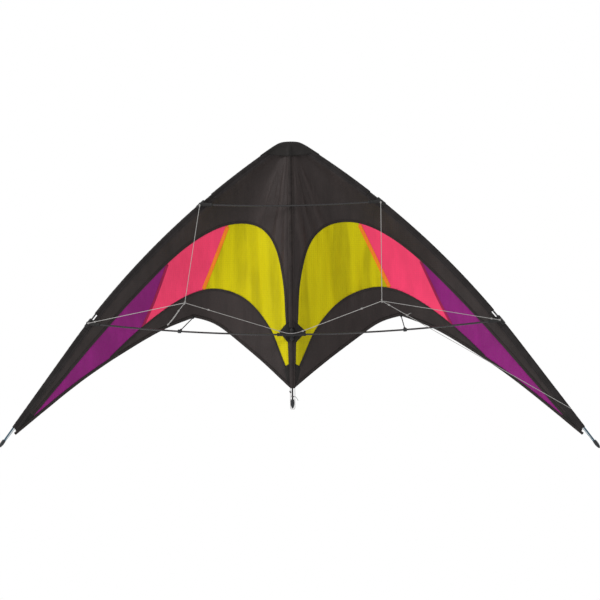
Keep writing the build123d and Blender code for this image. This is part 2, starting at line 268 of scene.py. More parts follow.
class Value:
    """A shader socket that takes part in Python arithmetic."""

    def __init__(self, tree: bpy.types.NodeTree, socket: Socket) -> None:
        """Wraps an output socket of a node tree."""
        self.tree = tree
        self.socket = socket

    def join(self, operation: str, *items: "Value | float") -> "Value":
        """Adds one Math node.

        Args:
            operation: The node's operation.
            items: Its inputs in order.

        Returns:
            The node's result.
        """
        node = self.tree.nodes.new("ShaderNodeMath")
        node.operation = operation
        for slot, item in zip(node.inputs, items):
            if isinstance(item, Value):
                self.tree.links.new(item.socket, slot)
            else:
                slot.default_value = item
        return Value(self.tree, node.outputs[0])

    def __add__(self, other: "Value | float") -> "Value":
        """Sum."""
        return self.join("ADD", self, other)

    def __sub__(self, other: "Value | float") -> "Value":
        """Difference."""
        return self.join("SUBTRACT", self, other)

    def __rsub__(self, other: float) -> "Value":
        """Difference from a number."""
        return self.join("SUBTRACT", other, self)

    def __mul__(self, other: "Value | float") -> "Value":
        """Product."""
        return self.join("MULTIPLY", self, other)

    def __truediv__(self, other: "Value | float") -> "Value":
        """Quotient."""
        return self.join("DIVIDE", self, other)

    __radd__, __rmul__ = __add__, __mul__

    def fract(self) -> "Value":
        """Fractional part."""
        return self.join("FRACT", self)

    def size(self) -> "Value":
        """Absolute value."""
        return self.join("ABSOLUTE", self)

    def sine(self) -> "Value":
        """Sine."""
        return self.join("SINE", self)

    def most(self, other: "Value | float") -> "Value":
        """Larger of two."""
        return self.join("MAXIMUM", self, other)

    def ramp(self, low: float, high: float) -> "Value":
        """Smooth step from 0 at low to 1 at high."""
        part = self.join("MAXIMUM", self.join("MINIMUM", (self - low) / (high - low), 1.0), 0.0)
        return part * part * (3.0 - 2.0 * part)


class Surface:
    """A material under construction."""

    def __init__(self, name: str) -> None:
        """Starts a material with its Principled shader."""
        self.material = bpy.data.materials.new(name)
        self.material.use_nodes = True
        self.tree = self.material.node_tree
        self.shader = self.tree.nodes["Principled BSDF"]

    def node(self, kind: str, settings: dict[str, object], inputs: dict[int | str, object]) -> bpy.types.Node:
        """Adds any node.

        Args:
            kind: The node's type.
            settings: Attributes set before its sockets.
            inputs: Values or links by socket name or number.

        Returns:
            The new node.
        """
        made = self.tree.nodes.new(kind)
        for key, item in settings.items():
            setattr(made, key, item)
        for key, item in inputs.items():
            self.feed(made.inputs[key], item)
        return made

    def feed(self, socket: Socket, item: object) -> None:
        """Links a value to a socket or sets the socket's own number."""
        if isinstance(item, (Value, Socket)):
            self.tree.links.new(getattr(item, "socket", item), socket)
        else:
            socket.default_value = item

    def place(self, kind: str = "Object") -> tuple[Value, Value, Value]:
        """The three coordinates of the surface, from one of Texture Coordinate's outputs."""
        coordinates = self.node("ShaderNodeTexCoord", {}, {})
        parts = self.node("ShaderNodeSeparateXYZ", {}, {0: coordinates.outputs[kind]})
        return tuple(Value(self.tree, parts.outputs[i]) for i in range(3))

    def noise(self, scale: float, detail: float, stretch: Point = (1.0, 1.0, 1.0)) -> Value:
        """Noise over the object.

        Args:
            scale: Blobs to a metre.
            detail: Octaves.
            stretch: Factors on each axis before the noise.

        Returns:
            The noise from 0 to 1.
        """
        coordinates = self.node("ShaderNodeTexCoord", {}, {})
        mapped = self.node("ShaderNodeMapping", {}, {"Vector": coordinates.outputs["Object"], "Scale": stretch})
        made = self.node("ShaderNodeTexNoise", {}, {"Vector": mapped.outputs[0], "Scale": scale, "Detail": detail})
        return Value(self.tree, made.outputs["Fac"])

    def blend(self, factor: Value, first: object, second: object) -> Socket:
        """Mix of two colours by a factor."""
        return self.node("ShaderNodeMix", {"data_type": "RGBA"}, {0: factor, 6: first, 7: second}).outputs[2]

    def bump(self, height: Value, depth: float, strength: float) -> Socket:
        """Normal of a height from 0 to 1 that stands for a depth in metres."""
        return self.node("ShaderNodeBump", {}, {"Strength": strength, "Distance": depth, "Height": height}).outputs[0]

    def dress(self, **sockets: object) -> Material:
        """Sets the shader's sockets by name, with underscores for spaces, and returns the material."""
        for name, item in sockets.items():
            self.feed(self.shader.inputs[name.replace("_", " ")], item)
        return self.material


def linear(red: int, green: int, blue: int) -> Colour:
    """Linear colour of a display colour from 0 to 255."""
    return tuple((c / 255 / 12.92) if c <= 10 else ((c / 255 + 0.055) / 1.055) ** 2.4 for c in (red, green, blue))


def shade(colour: Colour, factor: float) -> tuple[float, float, float, float]:
    """A colour made lighter or darker, ready for a socket."""
    return tuple(min(c * factor, 1.0) for c in colour) + (1.0,)


@dataclass(frozen=True)
class Ripstop:
    """Light nylon with a reinforcing grid, creased in a fan or in pleats, with painted highlights on the fan's crease
    ridges and on the pleats, and painted light and shade in its streaked tone.
    """

    name: str
    colour: Colour
    contrast: float
    fanned: bool = False
    pleated: bool = False
    shine: float = 0.16
    cell: float = 0.0055
    weave: float = 0.0007
    gloss: float = 0.44
    crease_depth: float = 0.0014

    def build(self) -> Material:
        """The material."""
        s = Surface(self.name)
        x, _, z = s.place()
        column = ((x / self.cell).fract() - 0.5).size()
        row = ((z / self.cell).fract() - 0.5).size()
        thread = column.most(row).ramp(0.43, 0.49)
        weave = (x * (pi / self.weave)).sine() * (z * (pi / self.weave)).sine()
        cloudy = s.noise(7.0, 3.0)
        streaks = s.noise(16.0, 2.0, (2.6, 1.0, 0.35))
        fine = s.noise(420.0, 2.0)
        # partly random tone from the cloudy noise, partly painted light and shade along the streaks that also bump the
        # cloth as soft folds
        tone = (cloudy * 0.5 + streaks * 0.5).ramp(0.32, 0.68)
        ground = s.blend(tone, shade(self.colour, 1 - self.contrast), shade(self.colour, 1 + self.contrast))
        height = thread * 0.25 + weave * 0.04 + s.noise(55.0, 4.0) * 0.9 + fine * 0.05 + streaks * 3.0
        if self.pleated:
            # painted highlight: the pleats are bumped and also painted lighter, as light falling on them
            pleat = s.noise(10.0, 1.0, (3.2, 1.0, 0.24)).ramp(0.44, 0.6)
            ground = s.blend(pleat * 0.6, ground, shade(self.colour, 1.4))
            height = height + pleat * 2.0
        colour = s.blend(thread * 0.35, ground, shade(self.colour, 0.62))
        if self.fanned:
            # painted highlight: the fan's crease ridges are painted lighter in the colour, as if lit, as well as
            # bumped
            crease_and_highlight = self.fan(x, z, cloudy, streaks)
            colour = s.blend(crease_and_highlight * 0.5, colour, shade(self.colour, 1.75))
            height = height + crease_and_highlight * 3.2
        return s.dress(Base_Color=colour, Roughness=self.gloss + fine * 0.12 - thread * 0.08,
                       Normal=s.bump(height, self.crease_depth, 0.6), Sheen_Weight=0.02, Sheen_Roughness=0.45,
                       Specular_IOR_Level=self.shine)

    def fan(self, x: Value, z: Value, cloudy: Value, streaks: Value) -> Value:
        """Creases that fan out from just above the nose; the same strength paints a highlight on their ridges.

        Args:
            x: Distance across.
            z: Height.
            cloudy: Broad noise that bends the wide creases.
            streaks: Noise that bends the narrow ones.

        Returns:
            Strength of the creases.
        """
        slope = x / (0.03 - z).most(0.03)
        ridge = (slope * 27.0 + cloudy * 9.0).sine() * 0.65 + (slope * 55.0 + streaks * 6.0).sine() * 0.35
        drop = 0.0 - z
        return ridge.ramp(-0.2, 0.9) * slope.size().ramp(0.62, 0.25) * drop.ramp(0.04, 0.12) * drop.ramp(0.62, 0.3)


@dataclass(frozen=True)
class Binding:
    """Heavier woven polyester for sleeves, hems and patches, with rows of stitches along its length."""

    name: str
    colour: Colour
    stitch_rows: tuple[float, ...] = ()
    stitch_length: float = 0.0032
    weave: float = 0.0009
    depth: float = 0.0007

    def build(self) -> Material:
        """The material."""
        s = Surface(self.name)
        x, _, z = s.place()
        weave = ((x + z) * (pi / self.weave)).sine() * ((x - z) * (pi / self.weave)).sine()
        cloudy = s.noise(26.0, 4.0)
        wear = s.noise(160.0, 3.0).ramp(0.56, 0.74)
        ground = s.blend(cloudy.ramp(0.35, 0.65), shade(self.colour, 0.78), shade(self.colour, 1.22))
        colour = s.blend(wear * 0.4, ground, shade(self.colour, 2.1))
        height = weave * 0.12 + cloudy * 0.5
        if self.stitch_rows:
            along, away, _ = s.place("UV")
            dash = (along / self.stitch_length).fract().ramp(0.18, 0.3)
            first, second = (1.0 - (away - row).size().ramp(0.00035, 0.0006) for row in self.stitch_rows)
            run = first.most(second)
            stitch = run * dash
            colour = s.blend(stitch * 0.75, colour, shade(self.colour, 2.6))
            height = height - run * 0.5 + stitch * 0.8
        return s.dress(Base_Color=colour, Roughness=0.62 + cloudy * 0.16, Normal=s.bump(height, self.depth, 0.7),
                       Sheen_Weight=0.03, Sheen_Roughness=0.5, Specular_IOR_Level=0.15)


@dataclass(frozen=True)
class Rod:
    """Pultruded rod with a polished skin and faint lengthwise fibres."""

    name: str
    colour: Colour
    stretch: Point
    depth: float = 0.00012

    def build(self) -> Material:
        """The material."""
        s = Surface(self.name)
        fibres = s.noise(900.0, 3.0, self.stretch)
        scuffs = s.noise(70.0, 4.0).ramp(0.55, 0.75)
        colour = s.blend(fibres.ramp(0.3, 0.7), shade(self.colour, 0.7), shade(self.colour, 1.35))
        return s.dress(Base_Color=colour, Roughness=0.2 + scuffs * 0.25 + fibres * 0.06,
                       Normal=s.bump(fibres, self.depth, 0.4), Coat_Weight=0.12, Coat_Roughness=0.12,
                       Specular_IOR_Level=0.35)


@dataclass(frozen=True)
class Moulding:
    """Moulded vinyl or nylon with a faint grain, rubbed lighter in places."""

    name: str
    colour: Colour
    roughness: float
    depth: float = 0.00025

    def build(self) -> Material:
        """The material."""
        s = Surface(self.name)
        grain = s.noise(1400.0, 3.0)
        flow = s.noise(180.0, 3.0)
        rub = s.noise(320.0, 4.0).ramp(0.58, 0.76)
        ground = s.blend(flow.ramp(0.35, 0.65), shade(self.colour, 0.82), shade(self.colour, 1.2))
        colour = s.blend(rub * 0.5, ground, shade(self.colour, 1.9))
        return s.dress(Base_Color=colour, Roughness=self.roughness + grain * 0.14 - rub * 0.08,
                       Normal=s.bump(grain * 0.4 + flow * 0.6, self.depth, 0.6), Specular_IOR_Level=0.25)


@dataclass(frozen=True)
class Line:
    """Braided line: two families of strands that cross at a steep angle."""

    name: str
    colour: Colour
    pitch: float = 0.0026
    depth: float = 0.0003

    def build(self) -> Material:
        """The material."""
        s = Surface(self.name)
        x, y, z = s.place()
        rising = ((x + y * 0.6 + z) * (2 * pi / self.pitch)).sine()
        falling = ((x - y * 0.6 - z) * (2 * pi / self.pitch)).sine()
        strand = rising.most(falling) * 0.5 + 0.5
        soil = s.noise(130.0, 3.0)
        # painted shade: the line is painted darker in the grooves between its strands
        colour = s.blend(strand, shade(self.colour, 0.62), shade(self.colour, 1.08))
        colour = s.blend(soil.ramp(0.5, 0.8) * 0.4, colour, shade(self.colour, 0.7))
        return s.dress(Base_Color=colour, Roughness=0.6 + soil * 0.2, Normal=s.bump(strand, self.depth, 0.8),
                       Sheen_Weight=0.15)


@dataclass(frozen=True)
class Metal:
    """Turned aluminium, hidden inside the rods."""

    name: str
    colour: Colour

    def build(self) -> Material:
        """The material."""
        s = Surface(self.name)
        rings = s.noise(600.0, 2.0, (1.0, 1.0, 6.0))
        return s.dress(Base_Color=s.blend(rings, shade(self.colour, 0.85), shade(self.colour, 1.1)),
                       Metallic=1.0, Roughness=0.3 + rings * 0.15)


@dataclass(frozen=True)
class Paper:
    """Matt pale studio floor."""

    name: str
    colour: Colour

    def build(self) -> Material:
        """The material."""
        s = Surface(self.name)
        tone = s.noise(3.0, 3.0)
        return s.dress(Base_Color=s.blend(tone, shade(self.colour, 0.985), shade(self.colour, 1.01)), Roughness=0.9)


FINISHES = (
    Ripstop("black_ripstop", linear(42, 36, 35), 0.2, fanned=True),
    Ripstop("yellow_ripstop", linear(167, 157, 2), 0.14, pleated=True, shine=0.08),
    Ripstop("pink_ripstop", linear(221, 56, 97), 0.08),
    Ripstop("purple_ripstop", linear(120, 16, 102), 0.14),
    Ripstop("orange_overlap", linear(222, 118, 26), 0.08),
    Ripstop("magenta_overlap", linear(138, 20, 66), 0.1),
    Binding("binding", linear(31, 28, 28), (0.0105, 0.0145)),
    Binding("tunnel", linear(37, 32, 31), (0.0105, 0.0115)),
    Binding("patch", linear(28, 26, 25)),
    Binding("hem", linear(38, 33, 33)),
    Binding("seam", linear(33, 29, 28), (0.0016, 0.0054)),
    Rod("rod", linear(31, 29, 30), (0.02, 1.0, 1.0)),
    Rod("spine_rod", linear(31, 29, 30), (1.0, 1.0, 0.02)),
    Rod("tip_rod", linear(26, 62, 78), (0.05, 1.0, 0.05)),
    Moulding("fitting", linear(27, 26, 26), 0.5),
    Moulding("hard_fitting", linear(34, 36, 38), 0.38),
    Line("bridle_line", linear(150, 148, 146)),
    Line("tension_line", linear(150, 143, 141)),
    Line("tip_line", linear(56, 100, 116)),
    Line("dark_line", linear(52, 48, 50)),
    Metal("ferrule", linear(190, 190, 194)),
    Paper("floor", linear(246, 246, 246)),
)


# ---------------------------------------------------------------- mesh building


def add_mesh(name: str, shape: Shape, material: Material, uvs: np.ndarray | None = None) -> Piece:
    """Adds a smooth mesh piece.

    Args:
        name: The piece's name.
        shape: Its points and faces.
        material: Its finish.
        uvs: Two surface coordinates for each point, or None.

    Returns:
        The new piece.
    """
    mesh = bpy.data.meshes.new(name)
    points, faces = shape
    mesh.from_pydata([tuple(float(c) for c in p) for p in points], [], [tuple(int(i) for i in f) for f in faces])
    if uvs is not None:
        layer = mesh.uv_layers.new(name="UVMap")
        for loop in mesh.loops:
            layer.data[loop.index].uv = tuple(float(c) for c in uvs[loop.vertex_index])
    mesh.validate()
    return add_piece(name, mesh, material)


def add_piece(name: str, mesh: bpy.types.Mesh, material: Material) -> Piece:
    """Shades a mesh smooth, gives it its finish and adds it as a piece."""
    mesh.polygons.foreach_set("use_smooth", [True] * len(mesh.polygons))
    mesh.materials.clear()
    mesh.materials.append(material)
    made = bpy.data.objects.new(name, mesh)
    bpy.context.collection.objects.link(made)
    return made


def loft(rings: list[np.ndarray]) -> Shape:
    """Closed skin through closed rings of equal length, with both ends capped."""
    count, rows = len(rings[0]), len(rings)
    faces = [(r * count + i, r * count + (i + 1) % count, (r + 1) * count + (i + 1) % count, (r + 1) * count + i)
             for r in range(rows - 1) for i in range(count)]
    ends = [tuple(range(count))[::-1], tuple((rows - 1) * count + i for i in range(count))]
    return np.concatenate(rings), faces + ends


def basis(direction: Vector) -> tuple[Vector, Vector]:
    """Two directions square to a third and to each other."""
    ahead = direction.normalized()
    side = ahead.cross(Vector((0, 1, 0)))
    if side.length < 0.1:
        side = ahead.cross(Vector((1, 0, 0)))
    side.normalize()
    return side, ahead.cross(side).normalized()


def ring_about(centre: Vector, direction: Vector, radius: float, count: int) -> np.ndarray:
    """A round section square to a direction."""
    side, up = basis(direction)
    angles = [2 * pi * k / count for k in range(count)]
    return np.array([tuple(centre + side * (radius * cos(a)) + up * (radius * sin(a))) for a in angles])


@dataclass(frozen=True)
class Turning:
    """A turned shape: distances along an axis and radii, with each corner cut by a small round."""

    profile: Outline
    rounding: float
    count: int = 28
    steps: int = 4

    def softened(self) -> list[tuple[float, float]]:
        """The profile with its rounds."""
        points = [Vector(p) for p in self.profile]
        out = [points[0]]
        for before, corner, after in zip(points, points[1:], points[2:]):
            back, ahead = before - corner, after - corner
            reach = min(self.rounding, back.length * 0.45, ahead.length * 0.45)
            start, end = corner + back.normalized() * reach, corner + ahead.normalized() * reach
            for t in np.linspace(0, 1, self.steps + 1):
                out.append(start * (1 - t) ** 2 + corner * 2 * t * (1 - t) + end * t ** 2)
        return [(p.x, max(p.y, 1e-5)) for p in out + [points[-1]]]

    def cut(self, origin: Vector, direction: Vector) -> Shape:
        """The shape, turned about an axis from an origin."""
        ahead = direction.normalized()
        return loft([ring_about(origin + ahead * along, direction, radius, self.count)
                     for along, radius in self.softened()])


def merge(shapes: list[Shape]) -> Shape:
    """Several shapes as one list of points and faces."""
    faces, offset = [], 0
    for points, loops in shapes:
        faces += [tuple(i + offset for i in loop) for loop in loops]
        offset += len(points)
    return np.concatenate([points for points, _ in shapes]), faces


def fuse(piece: Piece, voxel: float) -> None:
    """Melts a piece's overlapping shapes into one smooth moulded skin on a grid of a given size."""
    remesh = piece.modifiers.new("skin", "REMESH")
    remesh.mode = "VOXEL"
    remesh.voxel_size = voxel
    remesh.use_smooth_shade = True
    smooth = piece.modifiers.new("soften", "SMOOTH")
    smooth.factor = 0.5
    smooth.iterations = 3
    mesh = bpy.data.meshes.new_from_object(piece.evaluated_get(bpy.context.evaluated_depsgraph_get()))
    piece.modifiers.clear()
    old, piece.data = piece.data, mesh
    bpy.data.meshes.remove(old)
    mesh.polygons.foreach_set("use_smooth", [True] * len(mesh.polygons))


def add_line(name: str, points: list[Point], diameter: float, material: Material) -> tuple[Piece, list[Point]]:
    """Adds a smooth line through control points.

    Args:
        name: The piece's name.
        points: Control points of its spline.
        diameter: Thickness.
        material: Its finish.

    Returns:
        The line as a tube, and its centreline.
    """
    curve = bpy.data.curves.new(name, "CURVE")
    curve.dimensions = "3D"
    curve.bevel_resolution = 3
    curve.resolution_u = 16
    curve.use_fill_caps = True
    spline = curve.splines.new("NURBS")
    spline.points.add(len(points) - 1)
    for slot, point in zip(spline.points, points):
        slot.co = (*point, 1.0)
    spline.order_u = 3
    spline.use_endpoint_u = True
    route = bpy.data.objects.new(name + "_route", curve)
    centreline = [tuple(v.co) for v in bpy.data.meshes.new_from_object(route).vertices]
    curve.bevel_depth = diameter / 2
    mesh = bpy.data.meshes.new_from_object(route)
    bpy.data.objects.remove(route)
    return add_piece(name, mesh, material), centreline


def smooth_curve(points: list[tuple[float, float]], step: float) -> np.ndarray:
    """Natural cubic spline through points, sampled evenly enough.

    Args:
        points: The points it passes.
        step: Rough spacing of the samples.

    Returns:
        Sampled points, one row each.
    """
    p = np.array(points, float)
    gaps = np.linalg.norm(np.diff(p, axis=0), axis=1)
    t = np.concatenate([[0], np.cumsum(gaps)])
    n = len(p)
    a, b = np.zeros((n, n)), np.zeros((n, 2))
    a[0, 0] = a[-1, -1] = 1
    for i in range(1, n - 1):
        a[i, i - 1], a[i, i], a[i, i + 1] = gaps[i - 1], 2 * (gaps[i - 1] + gaps[i]), gaps[i]
        b[i] = 6 * ((p[i + 1] - p[i]) / gaps[i] - (p[i] - p[i - 1]) / gaps[i - 1])
    m = np.linalg.solve(a, b)
    out = []
    for i, h in enumerate(gaps):
        for u in np.linspace(t[i], t[i + 1], max(int(h / step), 2), endpoint=False):
            left, right = t[i + 1] - u, u - t[i]
            out.append(m[i] * left ** 3 / (6 * h) + m[i + 1] * right ** 3 / (6 * h)
                       + (p[i] / h - m[i] * h / 6) * left + (p[i + 1] / h - m[i + 1] * h / 6) * right)
    return np.array(out + [p[-1]])


def across(line: np.ndarray) -> np.ndarray:
    """Direction square to a flat line at each of its points."""
    ahead = np.gradient(line, axis=0)
    ahead /= np.linalg.norm(ahead, axis=1)[:, None]
    return np.stack([-ahead[:, 1], ahead[:, 0]], 1)


def inside(polygon: np.ndarray, spots: np.ndarray) -> np.ndarray:
    """Which spots lie inside a polygon, both given as one row for each point."""
    x, z = spots[:, 0], spots[:, 1]
    result = np.zeros(len(spots), bool)
    for (ax, az), (bx, bz) in zip(polygon, np.roll(polygon, -1, axis=0)):
        if az != bz:
            result ^= ((az > z) != (bz > z)) & (x < (bx - ax) * (z - az) / (bz - az) + ax)
    return result


# ---------------------------------------------------------------- the sail's shape


@dataclass(frozen=True)
class LeadingEdge:
    """Outer edge of a wing: an arc from the nose and then a straight run to the tip."""

    arc_length: float = 0.842
    straight_length: float = 0.296
    start_x: float = 0.0274
    start_drop: float = 0.0009
    start_angle: float = radians(57.5)
    end_angle: float = radians(36.8)
    rod_inset: float = 0.0036
    upper_station: float = 0.288
    lower_station: float = 0.762
    rod_overhang: float = 0.062

    @property
    def length(self) -> float:
        """Length of the sleeved edge."""
        return self.arc_length + self.straight_length

    def angle(self, station: float) -> float:
        """Angle off the spine at a length along the edge."""
        part = min(max(station, 0.0), self.arc_length) / self.arc_length
        return self.start_angle + (self.end_angle - self.start_angle) * part

    def direction(self, station: float, side: Side = Side.RIGHT) -> Vector:
        """Direction from nose to tip."""
        angle = self.angle(station)
        return Vector((sin(angle) * side.value, 0, -cos(angle)))

    def point(self, station: float, inset: float, y: float = 0.0, side: Side = Side.RIGHT) -> Vector:
        """A point beside the edge.

        Args:
            station: Length along the edge.
            inset: Distance in from it.
            y: Depth.
            side: Which wing.

        Returns:
            The point.
        """
        radius = self.arc_length / (self.start_angle - self.end_angle)
        angle = self.angle(station)
        x = self.start_x - radius * cos(self.start_angle) + (radius - inset) * cos(angle)
        z = -self.start_drop - radius * sin(self.start_angle) + (radius - inset) * sin(angle)
        beyond = max(station - self.arc_length, 0.0)
        return Vector(((x + beyond * sin(angle)) * side.value, y, z - beyond * cos(angle)))

    def table(self, inset: float) -> np.ndarray:
        """Many points along the edge at an inset, as X and Z."""
        return np.array([self.point(s, inset).xz for s in np.linspace(0, self.length + 0.05, 240)])


@dataclass(frozen=True)
class SailShape:
    """How the cloth bellies behind the frame, and its small folds."""

    lead: LeadingEdge = LeadingEdge()
    wing_clear: float = 0.0143
    front: float = 0.0032
    crown: float = 0.130
    crown_drop: float = 0.502
    sharpness: float = 6.0
    sleeve_width: float = 0.017
    fan_depth: float = 0.0021
    pleat_depth: float = 0.0011
    slack_depth: float = 0.0022
    pull_depth: float = 0.0009

    def reach(self, z: np.ndarray) -> np.ndarray:
        """X of the sail's outer edge at each height."""
        table = self.lead.table(self.sleeve_width)
        return np.interp(-z, -table[:, 1], table[:, 0])

    def belly(self, x: np.ndarray, z: np.ndarray) -> np.ndarray:
        """Smooth depth of the cloth's middle at each X, always positive, and Z."""
        share = np.maximum(-z, 0) / self.crown_drop
        crown = self.crown * share / (1 + share ** self.sharpness) ** (1 / self.sharpness)
        part = np.clip((x - self.wing_clear) / np.maximum(self.reach(z) - self.wing_clear, 1e-4), 0, 1)
        return self.front + crown * np.sin(pi * part)

    def folds(self, x: np.ndarray, z: np.ndarray, side: Side) -> np.ndarray:
        """Small folds on top of the belly.

        Args:
            x: Distance from the spine.
            z: Height.
            side: Which wing, since each creases its own way.

        Returns:
            Depth to add at each point.
        """
        shift = 0.0 if side is Side.RIGHT else 1.9
        drop = -z
        room = np.clip((x - 0.004) / 0.02, 0, 1) * np.clip((self.reach(z) - x) / 0.02, 0, 1)
        angle = np.arctan2(x, np.maximum(drop - 0.03, 0.004))
        away = np.hypot(x, drop - 0.03)
        fan = np.sin(angle * 46 + shift + 0.7 * np.sin(away * 21)) * np.exp(-((away - 0.18) / 0.13) ** 2)
        fan *= self.fan_depth * np.clip(1.25 - angle / 0.5, 0, 1) * np.clip(away / 0.06, 0, 1)
        pleat = np.sin(x * 205 + 1.6 * np.sin(z * 8 + shift) + shift)
        pleat *= self.pleat_depth * np.exp(-((x - 0.12) / 0.11) ** 2) * np.exp(-((drop - 0.38) / 0.14) ** 2)
        slack = np.sin(x * 19 + z * 26 + shift) * np.sin(x * 33 - z * 14 - shift) * self.slack_depth
        pull = np.sin((x * 0.75 + drop) * 62 + shift * 2) * self.pull_depth * np.clip((x - 0.3) / 0.2, 0, 1)
        return room * (fan + pleat + slack * np.clip(x / 0.1, 0, 1) + pull)

    def depth(self, x: np.ndarray, z: np.ndarray, side: Side) -> np.ndarray:
        """Depth of the creased cloth."""
        return self.belly(x, z) + self.folds(x, z, side)


@dataclass(frozen=True)
class SeamPattern:
    """Seams of one wing in the plane of the frame, as distance from the spine and drop from the nose."""

    span: float = 818.0
    drop: float = 814.0
    trailing_inner: Outline = ((8, 702), (98, 626), (188, 557), (246, 519), (303, 502))
    trailing_outer: Outline = ((303, 502), (398, 540), (486, 591), (590, 660), (678, 728), (804, 833), (860, 880))
    arch_top: Outline = ((16, 520), (17, 505), (21, 427), (32, 354), (61, 274), (100, 239), (148, 228), (188, 232),
                         (266, 266), (324, 307), (411, 388), (542, 528), (661, 667), (759, 783), (830, 868))
    arch_low: Outline = ((20, 641), (41, 591), (59, 549), (80, 515), (110, 478), (147, 447), (190, 427), (245, 418),
                         (313, 435), (389, 481), (464, 541), (556, 630), (640, 715))
    inner_low: Outline = ((16, 520), (36, 541), (12, 570), (10, 635), (20, 641))
    yellow_seam: Outline = ((146, 139), (188, 232), (271, 418), (313, 512))
    pink_seam: Outline = ((340, 290), (367, 351), (413, 456), (446, 523), (480, 590))
    tee_flare: Outline = ((2, 512), (17, 520), (39, 543), (13, 572), (2, 578))
    tail_side: Outline = ((20, 641), (23, 652), (11, 700))
    tail_top: Outline = ((2, 634), (10, 635))
    hem_rise: float = 0.008
    patch_width: float = 0.062
    strip_edge: float = 0.0075

    def scaled(self, points: Outline) -> list[tuple[float, float]]:
        """Pattern points in metres, stretched to the frame."""
        tip = LeadingEdge().point(LeadingEdge().length, 0)
        return [(x * tip.x / self.span, y * tip.z / self.drop) for x, y in points]

    def curve(self, points: Outline) -> np.ndarray:
        """A smooth seam."""
        return smooth_curve(self.scaled(points), 0.004)

    def straight(self, points: Outline) -> np.ndarray:
        """A seam of straight runs."""
        out = []
        scaled = self.scaled(points)
        for (ax, az), (bx, bz) in zip(scaled, scaled[1:]):
            count = max(int(np.hypot(bx - ax, bz - az) / 0.006), 1)
            out += [(ax + (bx - ax) * k / count, az + (bz - az) * k / count) for k in range(count)]
        return np.array(out + [scaled[-1]])

    def trailing(self) -> np.ndarray:
        """The whole trailing edge from tail to tip."""
        return np.concatenate([self.curve(self.trailing_inner), self.curve(self.trailing_outer)[1:]])

    def sort(self, spots: np.ndarray, lead: LeadingEdge) -> list[Cloth]:
        """The panel that each spot of the wing belongs to.

        Args:
            spots: X and Z of each spot.
            lead: The leading edge.

        Returns:
            One panel for each spot.
        """
        far = 2.0
        trail, low = self.trailing(), self.curve(self.arch_low)
        below = np.concatenate([[(-far, trail[0, 1])], trail, [(far, trail[-1, 1]), (far, -far), (-far, -far)]])
        under = np.concatenate([[(-far, low[0, 1])], low, [(low[-1, 0], -far), (-far, -far)]])
        band = np.concatenate([self.straight(self.inner_low)[::-1], self.curve(self.arch_top),
                               [(far, -far), (0.022, -far)]])
        yellow, pink = (np.concatenate([[(-far, far), (line[0, 0], far)], line, [(line[-1, 0], -far), (-far, -far)]])
                        for line in map(self.straight, (self.yellow_seam, self.pink_seam)))
        tee = np.array(self.scaled(self.tee_flare))
        tail = np.array(self.scaled(((0, 634), (10, 635)) + self.tail_side + ((0, 720),)))
        start = lead.point(lead.length - self.patch_width, 0)
        away = lead.direction(lead.length)
        at_tip = (spots[:, 0] - start.x) * away.x + (spots[:, 1] - start.z) * away.z > 0
        coloured = inside(band, spots) & (spots[:, 0] > self.strip_edge)
        found = ((Cloth.NONE, inside(below, spots)), (Cloth.HEM, inside(below + [0, self.hem_rise], spots)),
                 (Cloth.TIP, at_tip), (Cloth.TEE, inside(tee, spots)), (Cloth.TAIL, inside(tail, spots)),
                 (Cloth.LOWER, inside(under, spots)), (Cloth.YELLOW, coloured & inside(yellow, spots)),
                 (Cloth.PINK, coloured & inside(pink, spots)), (Cloth.PURPLE, coloured))
        return [next((cloth for cloth, hits in found if hits[i]), Cloth.UPPER) for i in range(len(spots))]


@dataclass(frozen=True)
class Spreaders:
    """Where the spreaders run and meet the frame."""

    offset: float = 0.009
    tee_drop: float = 0.546
    arm_start: float = 0.017
    bow: float = 0.008
    standoff_x: float = 0.322
    lead: LeadingEdge = LeadingEdge()

    def end(self, station: float, side: Side) -> Vector:
        """Spreader's end in front of the leading-edge rod."""
        return self.lead.point(station, self.lead.rod_inset, -self.offset, side)

    def lower(self, part: float, side: Side) -> Vector:
        """Point along a lower spreader, from the tee at 0 to the fitting at 1."""
        inner = Vector((self.arm_start * side.value, -self.offset, -self.tee_drop))
        spot = inner.lerp(self.end(self.lead.lower_station, side), part)
        spot.z -= self.bow * 4 * part * (1 - part)
        return spot

    def heading(self, start: float, end: float, side: Side) -> Vector:
        """Direction of a lower spreader from one part of its length to another."""
        return (self.lower(end, side) - self.lower(start, side)).normalized()

    def part_at(self, x: float) -> float:
        """Share of a lower spreader's length at a distance from the spine."""
        inner, outer = self.lower(0, Side.RIGHT), self.lower(1, Side.RIGHT)
        return (x - inner.x) / (outer.x - inner.x)


@dataclass
class Assembly:
    """A group of the kite's pieces."""

    finishes: dict[str, Material]
    lead: LeadingEdge = LeadingEdge()
    spreaders: Spreaders = Spreaders()

    def lay(self, name: str, shape: Shape, finish: str, node: str = "", body: str = "", voxel: float = 0.0,
            uvs: np.ndarray | None = None) -> Piece:
        """Adds a piece in its place on the kite.

        Args:
            name: The piece's name.
            shape: Its points and faces.
            finish: Its finish's name.
            node: The CAD node it stands for, if any.
            body: The body it rides on, if one only.
            voxel: Grid size that melts it into one skin, or 0.
            uvs: Two surface coordinates for each point, or None.

        Returns:
            The piece.
        """
        made = add_mesh(name, shape, self.finishes[finish], uvs)
        if voxel:
            fuse(made, voxel)
        if node:
            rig.replaces(made, node)
        if body:
            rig.ride(made, body)
        LOG.info("%s: %d faces", name, len(made.data.polygons))
        return made

    def bend(self, piece: Piece, side: Side, start: float, end: float, y: float, z: float) -> None:
        """Bends a piece across the fold at the spine, from one distance to another, at a depth and height."""
        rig.blend(piece, "frame", side.wing, start=(start * side.value, y, z), end=(end * side.value, y, z))


# ---------------------------------------------------------------- cloth


